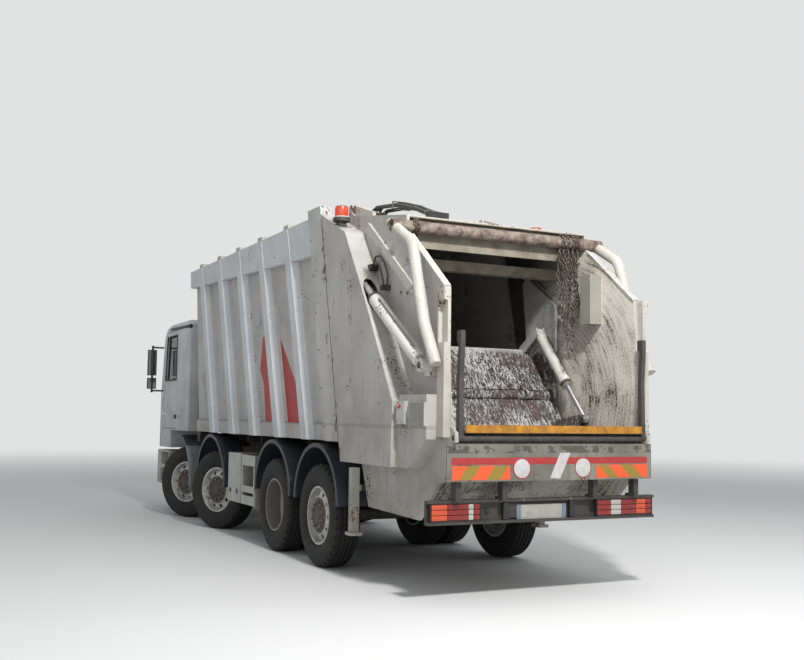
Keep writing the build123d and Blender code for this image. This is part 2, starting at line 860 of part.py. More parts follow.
def body_front_wall():
    """Leaning front wall between the sides."""
    t = front_wall_thickness
    points = [
        (front_wall_low, body_bottom),
        (front_wall_high, body_roof_top),
        (front_wall_high - t, body_roof_top),
        (front_wall_low - t, body_bottom),
    ]
    wall = side_plate(points, -body_wall_inner, body_wall_inner)
    foot = (front_wall_low - t - 60, front_wall_low - 2)
    wall -= box(foot, (-1200, 1200), (body_bottom - 5, body_floor_top))
    return wall


def body_rear_frame():
    """Portal round the body's rear mouth, with the tailgate's hinge ears and ram brackets."""
    post = [
        (seam(body_bottom), body_bottom),
        (seam(body_bottom) + post_length, body_bottom),
        (seam(post_top) + post_length, post_top),
        (seam(post_top), post_top),
    ]
    frame = side_plate(post, body_wall_inner, body_half_width)
    frame += side_plate(post, -body_half_width, -body_wall_inner)
    head_low = body_roof_top - 140.0
    head = [
        (seam(head_low), head_low),
        (seam(head_low) + post_length, head_low),
        (seam(frame_top) + post_length, frame_top),
        (seam(frame_top), frame_top),
    ]
    frame += side_plate(head, -body_wall_inner - 10, body_wall_inner + 10)
    foot_high = body_floor_top
    foot = [
        (seam(body_bottom), body_bottom),
        (seam(body_bottom) + post_length, body_bottom),
        (seam(foot_high) + post_length, foot_high),
        (seam(foot_high), foot_high),
    ]
    frame += side_plate(foot, -body_wall_inner - 10, body_wall_inner + 10)
    x, z = tail_hinge
    for y in hinge_ear_offsets:
        for side in (-1, 1):
            for shift in (-52, 28):
                centre = side * y + shift + 12
                ear = box((x - 46, x + 46), (centre - 12, centre + 12), (frame_top - 20, z))
                ear += cross_bar(x, z, 46, centre - 12, centre + 12)
                frame += ear
            frame += cross_bar(x, z, tail_pin_radius, side * y - 45, side * y + 45)
    px, pz = ram_foot
    for side in (-1, 1):
        y = sorted((side * ram_bracket[0], side * ram_bracket[1]))
        plate = [
            (px - 45, pz - 45),
            (seam(pz - 90) + 40, pz - 90),
            (seam(pz + 60) + 40, pz + 60),
            (px - 45, pz + 45),
        ]
        frame += side_plate(plate, *y)
        pin = sorted((side * (ram_lane - 38), side * ram_bracket[1]))
        frame += cross_bar(px, pz, ram_pin, *pin)
    return frame


hinge_ear_offsets = (820.0,)
ram_lane = 1072.0
ram_bracket = (1130.0, 1146.0)
ram_foot = (1850.0, 2000.0)
ram_head = (2180.0, 3450.0)
ram_pin = 22.0
ram_barrel_radius = 36.0
ram_rod_radius = 22.0


def ram_angle():
    return degrees(atan2(ram_head[1] - ram_foot[1], ram_head[0] - ram_foot[0]))


def ram_length():
    return hypot(ram_head[1] - ram_foot[1], ram_head[0] - ram_foot[0])


gland_length = 40.0
bore_gap = 6.0


def cylinder_barrel(start, angle, length, radius, rod, lane, eye_radius, eye_bore, eye_half):
    """Barrel with an eye at its foot, closed there and bored from its head."""
    begin = along(start, angle, eye_radius + 30)
    end = along(start, angle, length)
    shape = bar((begin[0], lane, begin[1]), (end[0], lane, end[1]), radius)
    gland = along(start, angle, length - gland_length)
    root = along(start, angle, eye_radius + 60)
    shape -= bar((root[0], lane, root[1]), (gland[0], lane, gland[1]), rod + bore_gap)
    mouth = along(start, angle, length + 5)
    shape -= bar((root[0], lane, root[1]), (mouth[0], lane, mouth[1]), rod + shaft_gap)
    neck = along(start, angle, eye_radius * 0.6)
    shape += bar((neck[0], lane, neck[1]), (begin[0], lane, begin[1]), eye_half * 0.8)
    shape += cross_bar(start[0], start[1], eye_radius, lane - eye_half, lane + eye_half)
    shape -= cross_bar(start[0], start[1], eye_bore, lane - eye_half - 5, lane + eye_half + 5)
    return shape


def cylinder_rod(end, angle, length, radius, lane, eye_radius, eye_half):
    """Rod that reaches back from its eye."""
    begin = along(end, angle + 180, eye_radius * 0.7)
    far = along(end, angle + 180, length)
    shape = bar((begin[0], lane, begin[1]), (far[0], lane, far[1]), radius)
    shape += cross_bar(end[0], end[1], eye_radius, lane - eye_half, lane + eye_half)
    return shape


def lift_barrels():
    barrel = cylinder_barrel(
        ram_foot, ram_angle(), ram_length() - 150, ram_barrel_radius, ram_rod_radius,
        ram_lane, 42, ram_pin + shaft_gap, 34,
    )
    return pair(barrel)


def lift_rods():
    rod = cylinder_rod(ram_head, ram_angle(), ram_length() - 130, ram_rod_radius, ram_lane, 44, 24)
    return pair(rod)


def ejector():
    """Push plate that crosses the load space on the floor's guides."""
    low, high = body_floor_top + 30, body_roof_top - roof_thickness - 150
    x = 6790.0
    lean = seam_lean
    span = high - low
    points = [(x, low), (x + 60, low), (x + 60 + lean * span, high), (x + lean * span, high)]
    plate = side_plate(points, 20 - body_wall_inner, body_wall_inner - 20)
    for y in (-730, 730):
        shoe = box((x - 40, x + 300), (y - 25, y + 25), (body_floor_top + 20 + seat_gap, low + 60))
        brace = side_plate(
            [(x + 40, low + 30), (x + 300, low + 30), (x + 300, low + 60), (x + 50 + lean * 900, low + 900)],
            y - 20,
            y + 20,
        )
        plate += shoe + brace
    return plate


# Tailgate

slide_down_pivot = along(blade_pivot, slide_angle, -slide_down)
bowl_radius = blade_length + bowl_clearance
lane_outer = 1155.0
outer_foot = (190.0, 2010.0)
outer_barrel_length = 1230.0
outer_barrel_radius = 66.0
outer_rod_radius = 34.0
arm_distance = 1860.0
# Outline of the inner wall by station and height
wall_outline = [
    (seam(1290) - tail_gap, 1290.0),
    (seam(tail_top_front) - tail_gap, tail_top_front),
    (800.0, tail_top_rear),
    (790.0, 3290.0),
    (30.0, 2690.0),
    (-45.0, lip_height + 60),
    (-150.0, lip_height),
    (-155.0, lip_height - 80),
    (-92.0, lip_height - 88),
    (-92.0, 1030.0),
    (110.0, 1010.0),
    (480.0, 660.0),
    (1540.0, 690.0),
]
# Outline of the outer box on the wall
panel_outline = [
    (seam(1120) - tail_gap, 1120.0),
    (seam(tail_top_front) - tail_gap, tail_top_front),
    (1730.0, 3400.0),
    (1220.0, 2670.0),
    (600.0, 1710.0),
    (620.0, 1120.0),
]
# Outline of the shallower box behind it, under the control panel
heel_outline = [
    (620.0, 1120.0),
    (604.0, 1700.0),
    (560.0, 1760.0),
    (60.0, 1760.0),
    (60.0, 1380.0),
    (390.0, 1120.0),
]
heel_outer = 1190.0


def tail_side():
    """Left side of the tailgate: inner wall, outer hollow box, heel box and their slots."""
    inner, outer = tail_wall_inner, tail_wall_inner + tail_wall
    side = side_plate(wall_outline, inner, outer)
    shell = side_plate(panel_outline, outer - 1, body_half_width)
    hollow = grown(panel_outline, -tail_skin)
    reach = [(x + (60 if x > seam(z) - 60 else 0), z) for x, z in hollow]
    shell -= side_plate(reach, outer, body_half_width - tail_skin)
    heel = side_plate(heel_outline, outer - 1, heel_outer)
    heel -= side_plate(grown(heel_outline, -tail_skin), outer, heel_outer - tail_skin)
    side += shell
    side += heel
    flange = strip((735.0, 3244.5), (30.0, 2688.0), -12)
    side += side_plate(flange, inner - 14, outer + 24)
    # Passage of the outer cylinder through the step face
    cylinder_hole = outer_barrel_radius + 14
    start = along(outer_foot, slide_angle, 700)
    passage = along(outer_foot, slide_angle, 1500)
    side -= bar((start[0], lane_outer, start[1]), (passage[0], lane_outer, passage[1]), cylinder_hole) & box(
        (0, 3000), (outer, body_half_width - tail_skin + 3), (0, 4000)
    )
    # Slot in the inner wall for the carriage arm
    low = along(outer_foot, slide_angle, arm_distance - slide_down - 75)
    high = along(outer_foot, slide_angle, arm_distance + slide_up + 75)
    corners = [
        along(low, slide_angle, 0, -60),
        along(high, slide_angle, 0, -60),
        along(high, slide_angle, 0, 60),
        along(low, slide_angle, 0, 60),
    ]
    side -= side_plate(corners, inner - 5, outer + 5)
    side += cross_bar(ram_head[0], ram_head[1], ram_pin, outer - 5, outer + 10)
    for rail in guide_rails():
        side += rail
    side -= cross_bar(*lift_axis, lift_tube + shaft_gap, inner - 5, outer + 5)
    side -= cross_bar(*tail_rear_bar, tail_bar_radius + seat_gap, inner - 5, outer + 5)
    return side


def guide_rails():
    """Two rails on the left inner wall that hold the carriage's pads."""
    rails = []
    for shift in (-1, 1):
        near = pad_half + moving_gap
        start = along(outer_foot, slide_angle, guide_first, shift * (near + 10) - 10)
        end = along(outer_foot, slide_angle, guide_last, shift * (near + 10) - 10)
        rails.append(side_plate(strip(start, end, 20), tail_wall_inner - 32, tail_wall_inner))
    return rails


guide_first = 930.0
guide_last = 2230.0
pad_half = 45.0
lower_pad = 1330.0


def hopper_bowl():
    """Bowl swept by the blade, ramp to the body floor, loading slope and sill."""
    cx, cz = slide_down_pivot
    r = bowl_radius
    t = bowl_plate
    lip = (lip_station, lip_height)
    reach = hypot(lip[0] - cx, lip[1] - cz)
    toward = degrees(atan2(lip[1] - cz, lip[0] - cx)) % 360
    spread = degrees(atan2((reach**2 - r**2) ** 0.5, r))
    tangent_angle = toward + spread
    front_angle = 270 + bowl_front_slope
    y = tail_wall_inner
    bowl = arc_sheet((cx, cz), r, t, tangent_angle, front_angle, -y, y)
    touch = (cx + r * cos(radians(tangent_angle)), cz + r * sin(radians(tangent_angle)))
    bowl += side_plate(strip(lip, touch, -t), -y, y)
    end = (cx + r * cos(radians(front_angle)), cz + r * sin(radians(front_angle)))
    floor_edge = (seam(1285) - tail_gap, 1285.0)
    bowl += side_plate(strip(end, floor_edge, -t), -y, y)
    bowl += side_plate(
        [(lip_rear, lip[1]), (lip[0], lip[1] - 8), (lip[0] + 4, lip[1] + t), (lip_rear, lip[1] + t)],
        -lip_half,
        lip_half,
    )
    return bowl


sill_low = 1030.0
sill_half = 1080.0
sill_face = -104.0
sill_sheet = 12.0


def sill_panel():
    """Rear sill under the lip with its returns."""
    high = lip_height - 90
    inside = sill_face + sill_sheet
    sill = box((sill_face, inside), (-sill_half, sill_half), (sill_low, high))
    sill += box((sill_face, 20), (-sill_half, sill_half), (sill_low, sill_low + sill_sheet))
    sill += box((sill_face, -20), (-sill_half, sill_half), (high - sill_sheet, high))
    wall = tail_wall_inner - seat_gap
    for side in (-1, 1):
        beside = sorted((side * wall, side * (sill_half + 200)))
        sill -= box((inside, 200), beside, (sill_low - 30, high + 50))
    return sill


def lip_strip():
    """Coloured wear strip on the loading edge."""
    top = lip_height + bowl_plate
    strip_rear = box((rear_end, lip_rear), (-lip_half, lip_half), (lip_height, lip_height + lip_guard))
    return strip_rear + box((lip_rear - 1, lip_rear + 76), (-lip_half, lip_half), (top, top + 8))


def tail_frame():
    """Cross tube, cross beams, edge tubes, channel beams and rear posts."""
    x, z = tail_rear_bar
    tube = cross_bar(x, z, tail_bar_radius, -1190, 1190)
    for bent in edge_tubes():
        tube += bent
    for side in (-1, 1):
        tube -= cross_bar(x, z, tail_bar_radius - 12, *sorted((side * 1090, side * 1200)))
    beam = box((864, 894), (-tail_wall_inner, tail_wall_inner), (3150, 3425))
    second = box((1170, 1290), (-tail_wall_inner, tail_wall_inner), (3010, 3110))
    return group(tube, beam, second)


def tail_roof():
    """Top plate of the tailgate with its hinge arms."""
    y = tail_wall_inner
    t = 20.0
    front = seam(tail_top_front) - tail_gap
    points = [
        (front, tail_top_front),
        (800.0, tail_top_rear),
        (800.0, tail_top_rear - t),
        (front - 5, tail_top_front - t),
    ]
    roof = side_plate(points, -y, y)
    hx, hz = tail_hinge
    for offset_y in hinge_ear_offsets:
        for side in (-1, 1):
            c = side * offset_y
            arm_points = [
                (hx - 20, hz + 40),
                (hx + 20, hz - 40),
                (front - 40, tail_top_front + 10),
                (front - 400, tail_top_front - 90),
                (front - 420, tail_top_front),
            ]
            arm = side_plate(arm_points, c - 22, c + 22)
            arm += cross_bar(hx, hz, 46, c - 22, c + 22)
            arm -= cross_bar(hx, hz, tail_pin_radius + shaft_gap, c - 30, c + 30)
            roof += arm
    return roof


edge_tube_path = [(882.0, 3361.0), (445.0, 3118.0), (200.0, 2384.0), (-18.0, 2008.0)]
edge_tube_lane = 1149.0
edge_tube_radius = 52.0


def edge_tubes():
    """Bent tube along the rear edge of each side."""
    path = FilletPolyline(*[(x, edge_tube_lane, z) for x, z in edge_tube_path], radius=180)
    start = path @ 0
    section = Plane(origin=start, z_dir=path % 0) * Circle(edge_tube_radius)
    tube = sweep(section, path=path)
    return [tube, mirror(tube, about=Plane.XZ)]


def tail_posts():
    """Rear posts and the sloping channel beams above them."""
    post = box((-60, 60), (tail_wall_inner + tail_wall, 1095), (1400, 2680))
    post -= box((-70, 40), (1060, 1110), (2200, 2560))
    channel = side_plate(strip((1600, 3490), (600, 2752), 90), tail_wall_inner + tail_wall, 1056)
    return pair(group(post, channel))


def outer_barrels():
    """Outer cylinders of the packer with their rear brackets."""
    barrel = cylinder_barrel(
        outer_foot, slide_angle, outer_barrel_length, outer_barrel_radius, outer_rod_radius,
        lane_outer, 60, 30, 40,
    )
    x, z = outer_foot
    bracket = box((x - 70, x + 60), (tail_wall_inner + tail_wall, lane_outer - 44), (z - 90, z + 90))
    bracket += cross_bar(x, z, 30 - shaft_gap, tail_wall_inner + tail_wall + 5, lane_outer + 42)
    return pair(group(barrel, bracket))


# Packer

def carriage():
    """Slide plate with its side arms, pads and outer rods."""
    px, pz = blade_pivot
    top = along(blade_pivot, blade_slope, 610)
    y = blade_half_width
    plate = side_plate(strip(along(blade_pivot, blade_slope, 75), top, -50), -y, y)
    pad_high = along(outer_foot, slide_angle, arm_distance)
    pad_low = along(outer_foot, slide_angle, lower_pad)
    cheek = [
        (px - 70, pz - 20),
        along(pad_low, slide_angle, -120, -20),
        along(pad_low, slide_angle, -60, 44),
        along(pad_high, slide_angle, 60, 44),
        along(pad_high, slide_angle, 60, -60),
        (top[0] + 90, top[1] + 20),
        (px + 130, pz - 10),
        (px + 10, pz - 75),
    ]
    shape = plate
    for side in (-1, 1):
        limits = sorted((side * (y - 30), side * y))
        shape += side_plate(cheek, *limits)
        for pad, reach in ((pad_high, lane_outer - 30), (pad_low, tail_wall_inner - moving_gap)):
            corners = [
                along(pad, slide_angle, -60, -pad_half),
                along(pad, slide_angle, 60, -pad_half),
                along(pad, slide_angle, 60, pad_half),
                along(pad, slide_angle, -60, pad_half),
            ]
            limits = sorted((side * (y - 5), side * (tail_wall_inner - moving_gap)))
            shape += side_plate(corners, *limits)
            if reach > tail_wall_inner:
                ends = sorted((side * (tail_wall_inner - 20), side * reach))
                shape += cross_bar(pad[0], pad[1], 38, *ends)
        lane = side * lane_outer
        rod_end = along(pad_high, slide_angle, -1370)
        shape += bar((pad_high[0], lane, pad_high[1]), (rod_end[0], lane, rod_end[1]), outer_rod_radius)
        head = along(pad_high, slide_angle, -45)
        tip = along(pad_high, slide_angle, 45)
        shape += bar((head[0], lane, head[1]), (tip[0], lane, tip[1]), 44)
    for lug in pivot_lugs:
        limits = (lug - 20, lug + 20)
        lug_plate = [
            (px - 60, pz),
            (px + 60, pz),
            along(blade_pivot, blade_slope, 140, -40),
            along(blade_pivot, blade_slope, 140, 10),
        ]
        shape += side_plate(lug_plate, *limits) + cross_bar(px, pz, 60, *limits)
    for lug in pivot_lugs:
        shape -= cross_bar(px, pz, blade_pin + shaft_gap, lug - 25, lug + 25)
    shape -= cross_bar(px, pz, 70, -y - 60, -pivot_lugs[-1] - 20.001)
    shape -= cross_bar(px, pz, 70, pivot_lugs[-1] + 20.001, y + 60)
    for side in (-1, 1):
        for shift in (-52, 36):
            centre = side * inner_lane + shift
            foot = along(blade_pivot, blade_slope, 560, 10)
            lug_plate = [
                (inner_top[0] - 50, inner_top[1] - 30),
                (inner_top[0] - 20, inner_top[1] + 50),
                (top[0] + 60, top[1] + 20),
                (foot[0] + 20, foot[1] - 20),
            ]
            shape += side_plate(lug_plate, centre, centre + 16)
        lane = side * inner_lane
        shape += cross_bar(*inner_top, inner_pin, lane - 50, lane + 50)
    return shape


pivot_lugs = (-620.0, 0.0, 620.0)
blade_pin = 30.0
inner_lane = 860.0
inner_top = (1400.0, 2470.0)
inner_pin = 24.0
inner_pin_distance = 1200.0
inner_barrel_length = 760.0
inner_barrel_radius = 56.0
inner_rod_length = 740.0
inner_rod_radius = 27.0
cheek_clear = 148.0


def blade():
    """Packer blade: curved plate stiffened by gussets, with ears for its cylinders."""
    y = blade_half_width
    down = blade_slope + 180
    px, pz = blade_pivot
    ear_pin = rod_pin()
    gusset = [
        along(blade_pivot, down, 330, 5),
        (ear_pin[0] + 30, ear_pin[1] + 38),
        (ear_pin[0] - 28, ear_pin[1] + 10),
        (ear_pin[0] + 10, ear_pin[1] - 36),
        along(blade_pivot, down, 780, 5),
    ]
    edge_low = along(blade_pivot, down, blade_length - 6)
    shape = side_plate(strip(along(blade_pivot, down, 62), edge_low, 40), -y, y)
    for side in (-1, 1):
        shape -= cross_bar(px, pz, cheek_clear, *sorted((side * (y - 40), side * (y + 5))))
        for shift in (-52, 36):
            centre = side * inner_lane + shift
            shape += side_plate(gusset, centre, centre + 16)
    shaft = cross_bar(px, pz, 52, -y + 60, y - 60)
    for lug in pivot_lugs:
        shaft -= cross_bar(px, pz, 80, lug - 28, lug + 28)
    shaft += cross_bar(px, pz, blade_pin, -y + 70, y - 70)
    shape += shaft
    neck = strip(along(blade_pivot, down, 10), along(blade_pivot, down, 80), 40)
    for y0, y1 in ((-880, -700), (-540, -80), (80, 540), (700, 880)):
        shape += side_plate(neck, y0, y1)
    return shape


def rod_pin():
    """Place of the blade's cylinder pin at rest."""
    angle = inner_angle()
    return along(inner_top, angle, inner_pin_distance)


def inner_angle():
    return 180 + 48.5


def blade_barrels():
    barrel = cylinder_barrel(
        inner_top, inner_angle(), inner_barrel_length, inner_barrel_radius, inner_rod_radius,
        inner_lane, 40, inner_pin + shaft_gap, 30,
    )
    return pair(barrel)


def blade_rods():
    x, z = rod_pin()
    rod = cylinder_rod(rod_pin(), inner_angle(), inner_rod_length, inner_rod_radius, inner_lane, 40, 26)
    rod += cross_bar(x, z, inner_pin, inner_lane - 34, inner_lane + 34)
    return pair(rod)


# Bin lift, bumper, lamps, beacons and chains

lift_axis = (-112.0, lip_height - 45.0)
lift_tube = 26.0
lift_arm_top = 2300.0
lift_arm_lane = (942.0, 984.0)


def bin_lift():
    """Torque tube behind the lip with an upright arm and a trunnion seat at each end."""
    x, z = lift_axis
    end = tail_wall_inner + tail_wall - 2
    shape = cross_bar(x, z, lift_tube, -end, end)
    top = lift_arm_top
    outline = [
        (x - 30, z),
        (x + 30, z),
        (x + 24, 1900),
        (x - 2, top - 110),
        (x + 28, top - 92),
        (x + 28, top),
        (x - 44, top),
        (x - 44, top - 110),
        (x - 22, 1900),
    ]
    for side in (-1, 1):
        shape += side_plate(outline, *sorted((side * lift_arm_lane[0], side * lift_arm_lane[1])))
    return shape


plate_face = 30.0
plate_middle = 125.0
plate_height = 768.0


def rear_bumper():
    """Channel bumper hung below the sill, with a flat seat for a plate."""
    bumper = box((0, 70), (-1196, 1196), (665, 870))
    bumper -= box((-5, 45), (-1200, 1200), (690, 845))
    y, z = plate_middle, plate_height
    bumper += box((plate_face, 50), (y - 260, y + 260), (z - 60, z + 60))
    for y in (-940.0, -480.0, 480.0, 940.0):
        bumper += box((-60, 20), (y - 25, y + 25), (860, 1030)) + box((0, 70), (y - 25, y + 25), (845, 890))
    return bumper


def rear_lamps():
    """Lamp clusters set in the bumper."""
    solids = []
    for y_low, y_high in ((690.0, 1170.0), (-1170.0, -540.0)):
        solids.append(box((4, 45), (y_low, y_high), (696, 839)))
    return group(*solids)


beacon_place = (1960.0, 1190.0)


def panel_top(station):
    """Height of the outer box's sloping top edge at a station."""
    low, high = panel_outline[2], panel_outline[1]
    return low[1] + (station - low[0]) * (high[1] - low[1]) / (high[0] - low[0])


def beacons():
    """Warning beacons on pedestals at the tailgate's top corners."""
    solids = []
    x, lane = beacon_place
    base = panel_top(x + 90) + 4
    for side in (-1, 1):
        y = side * lane
        foot = [
            (x - 40, panel_top(x - 40) + seat_gap),
            (x + 40, panel_top(x + 40) + seat_gap),
            (x + 40, base + 5),
            (x - 40, base + 5),
        ]
        lamp = side_plate(foot, y - 40, y + 40)
        lamp += Pos(x, y, base + 18) * Cylinder(88, 36)
        lamp += Pos(x, y, base + 95) * Cylinder(64, 125)
        solids.append(lamp)
    return group(*solids)


# Chain strands: offset to the side, number of links
strand_table = [
    (-690.0, 10),
    (-735.0, 13),
    (-785.0, 19),
    (-850.0, 11),
    (-905.0, 8),
    (930.0, 3),
]
link_length = 80.0
link_width = 38.0
link_wire = 11.0


def chains():
    """Chain strands of flat links, hung below the cross tube."""
    x, z = tail_rear_bar
    half, wide = link_length / 2, link_width / 2
    pitch = link_length - 2 * link_wire + 1
    outline = [
        (wide, half - 12), (wide - 10, half), (10 - wide, half), (-wide, half - 12),
        (-wide, 12 - half), (10 - wide, -half), (wide - 10, -half), (wide, 12 - half),
    ]
    inner = wide - link_wire
    far = half - link_wire
    hole = [(inner, far), (-inner, far), (-inner, -far), (inner, -far)]
    link = side_plate(outline, -link_wire / 2, link_wire / 2) - side_plate(hole, -link_wire, link_wire)
    top = z - tail_bar_radius - seat_gap
    strands = []
    for y, number in strand_table:
        strand = box((x - 9, x + 9), (y - 9, y + 9), (top - 30, top))
        links = []
        for i in range(number):
            height = top - 25 - half - i * pitch
            links.append(Pos(x, y, height) * Rot(0, 0, 90 * (i % 2)) * link)
        strands.append(strand.fuse(*links))
    return group(*strands)


# Hoses: offset to the side, radius, corners as station and height
hose_table = [
    (610.0, 21.0, [(2240, 3706), (2080, 3740), (1600, 3690), (1150, 3580), (960, 3515), (845, 3478)]),
    (680.0, 21.0, [(2240, 3706), (2060, 3775), (1560, 3715), (1180, 3610), (960, 3525), (845, 3478)]),
    (750.0, 21.0, [(2240, 3706), (2040, 3755), (1580, 3700), (1160, 3590), (960, 3515), (845, 3478)]),
    (1060.0, 9.0, [(1450, 3020), (1405, 3125), (1290, 3115), (1185, 3022), (1120, 2908), (1135, 2795)]),
    (1082.0, 9.0, [(1430, 3010), (1370, 3070), (1270, 3020), (1195, 2900), (1160, 2795)]),
]
hose_block_side = (570.0, 790.0)


def roof_height(station):
    """Height of the tailgate's sloping roof at a station."""
    front = seam(tail_top_front) - tail_gap
    return tail_top_rear + (station - 800.0) * (tail_top_front - tail_top_rear) / (front - 800.0)


def step_face(height):
    """Station of the step face of the outer box at a height."""
    low, high = panel_outline[3], panel_outline[2]
    return low[0] + (height - low[1]) * (high[0] - low[0]) / (high[1] - low[1])


def hoses():
    """Hydraulic hoses over the roof and in the recess of the left side, with their blocks."""
    solids = []
    for y, radius, corners in hose_table:
        path = FilletPolyline(*[(x, y, z) for x, z in corners], radius=40)
        hose = sweep(Plane(origin=path @ 0, z_dir=path % 0) * Circle(radius), path=path)
        solids.append(hose)
    over = solids[0] + solids[1] + solids[2]
    for rear, front in ((2200.0, 2280.0), (815.0, 875.0)):
        low = (rear, roof_height(rear) + seat_gap)
        high = (front, roof_height(front) + seat_gap)
        over += side_plate([low, high, (front, high[1] + 58), (rear, low[1] + 58)], *hose_block_side)
    small = solids[3] + solids[4]
    wall = tail_wall_inner + tail_wall + seat_gap
    face = [step_face(2985) - 50, step_face(2985) - 0.5, step_face(3045) - 0.5]
    socket = [(face[0], 2985), (face[1], 2985), (face[2], 3045), (face[0], 3045)]
    small += side_plate(socket, wall, 1110)
    small += box((1115, 1180), (wall, 1110), (2765, 2815))
    return group(over, small)


def control_box():
    """Control panel with its switch and the grey junction box behind it."""
    y = heel_outer
    shape = box((400, 560), (y - 5, y + 38), (1500, 1705)) + box((60, 330), (y - 5, y + 24), (1490, 1690))
    shape += box((330, 400), (y - 5, y + 12), (1560, 1660))
    shape += bar((510, y + 36, 1660), (510, y + 62, 1660), 18)
    return shape


def wall_box():
    """Plain cover on the right wall above the hopper."""
    return box((520, 680), (-tail_wall_inner - 1, -860), (2500, 2990))


def save(nodes):
    """Writes every node about the shared origin."""
    os.makedirs("parts", exist_ok=True)
    for name, shape in nodes.items():
        export_step(Pos(-origin_station, 0, 0) * shape, f"parts/{name}.step")


def build():
    """All nodes by name."""
    nodes = {
        "chassis_frame": group(chassis(), rear_stands()),
        "engine": engine(),
        "axles": group(front_axle("1"), front_axle("2"), rear_axles(), springs()),
        "wheel_guards": wheel_guards(guard_table[1:]),
        "cab_guards": wheel_guards(guard_table[:1]),
        "side_boxes": side_boxes(),
        "front_bumper": front_bumper(),
        "headlamps": headlamps(),
        "air_intake": air_intake(),
        "body_floor": body_floor(),
        "body_sides": pair(body_side()),
        "body_roof": body_roof() + body_front_wall(),
        "body_rear_frame": body_rear_frame(),
        "ejector": ejector(),
        "cab_shell": cab_shell(),
        "windscreen": windscreen(),
        "cab_front_panel": cab_front_panel(),
        "cab_interior": cab_interior(),
        "mirrors": group(mirrors(), sun_visor()),
        "door_left": door(1),
        "door_right": door(-1),
        "door_glass_left": door_glass(1),
        "door_glass_right": door_glass(-1),
        "tailgate_sides": group(
            tail_side() + control_box(),
            mirror(tail_side(), about=Plane.XZ) + wall_box(),
        ),
        "tailgate_frame": group(tail_roof(), tail_frame(), tail_posts()),
        "hopper_bowl": hopper_bowl() + sill_panel(),
        "lip_strip": lip_strip(),
        "outer_barrels": outer_barrels(),
        "rear_bumper": rear_bumper(),
        "rear_lamps": rear_lamps(),
        "beacons": beacons(),
        "chains": chains(),
        "hoses": hoses(),
        "lift_barrels": lift_barrels(),
        "lift_rods": lift_rods(),
        "carriage": carriage(),
        "blade": blade(),
        "blade_barrels": blade_barrels(),
        "blade_rods": blade_rods(),
        "bin_lift": bin_lift(),
    }
    for number in ("1", "2"):
        for side, word in ((1, "left"), (-1, "right")):
            nodes[f"knuckle_{number}_{word}"] = knuckle(number, side)
    nodes.update(wheels())
    return nodes


if __name__ == "__main__":
    save(build())
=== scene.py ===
import bpy
from math import atan2, cos, hypot, pi, radians, sin
from mathutils import Matrix, Vector


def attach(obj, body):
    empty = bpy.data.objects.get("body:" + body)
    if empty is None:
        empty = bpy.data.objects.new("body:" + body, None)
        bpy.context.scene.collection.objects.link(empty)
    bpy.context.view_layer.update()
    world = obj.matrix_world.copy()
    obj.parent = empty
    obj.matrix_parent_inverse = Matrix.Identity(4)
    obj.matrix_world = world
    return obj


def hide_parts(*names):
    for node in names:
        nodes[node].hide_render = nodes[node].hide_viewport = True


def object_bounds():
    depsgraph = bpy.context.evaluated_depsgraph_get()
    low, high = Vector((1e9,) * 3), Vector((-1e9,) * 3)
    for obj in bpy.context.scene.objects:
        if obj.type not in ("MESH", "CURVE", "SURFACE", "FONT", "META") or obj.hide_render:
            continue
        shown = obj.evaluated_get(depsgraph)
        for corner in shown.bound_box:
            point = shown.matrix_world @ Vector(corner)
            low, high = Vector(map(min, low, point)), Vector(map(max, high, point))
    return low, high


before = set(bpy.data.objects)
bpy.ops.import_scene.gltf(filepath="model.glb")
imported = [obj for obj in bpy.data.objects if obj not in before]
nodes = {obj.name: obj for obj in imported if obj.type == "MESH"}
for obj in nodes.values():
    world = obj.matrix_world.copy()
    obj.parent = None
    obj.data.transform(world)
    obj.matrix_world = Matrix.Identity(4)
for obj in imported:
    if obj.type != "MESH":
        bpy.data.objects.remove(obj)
cad_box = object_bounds()
# Stations are measured forward from the rear bumper's face; this one is the frame's origin.
lip_station = -0.158
origin = lip_station - cad_box[0][0]
# The seam between body and tailgate leans forward with height.
seam_lean, sill_height = 0.246, 1.310
bpy.ops.object.select_all(action="DESELECT")

# Camera. It stands low behind the truck's left rear corner, as the photographer did,
# with a normal lens of about 46 mm on a 36 mm wide frame.
yaw, pitch, roll = -0.4642, 0.0839, 0.0138
ahead = Vector((cos(yaw) * cos(pitch), sin(yaw) * cos(pitch), sin(pitch)))
level = Vector((sin(yaw), -cos(yaw), 0.0))
above = level.cross(ahead)
right = level * cos(roll) + above * sin(roll)
up = above * cos(roll) - level * sin(roll)
bpy.ops.object.camera_add(location=(-7.5358 - origin, 5.2346, 1.5765))
camera = bpy.context.object
camera.rotation_euler = Matrix((right, up, -ahead)).transposed().to_euler()
camera.data.lens = 45.56
camera.data.sensor_width = 36.0
camera.data.clip_end = 200.0
bpy.context.scene.camera = camera

# Studio. A pale floor and a pale sky light the truck softly; one smaller lamp from the rear left stands
# for the sun that reaches into the hopper, and two wide ones keep the sides out of black.
bpy.context.scene.view_settings.view_transform = "Standard"


def linear(code):
    """Linear colour of an sRGB hex value."""
    parts = [int(code[i:i + 2], 16) / 255 for i in (0, 2, 4)]
    return tuple(c / 12.92 if c <= 0.04045 else ((c + 0.055) / 1.055) ** 2.4 for c in parts) + (1.0,)


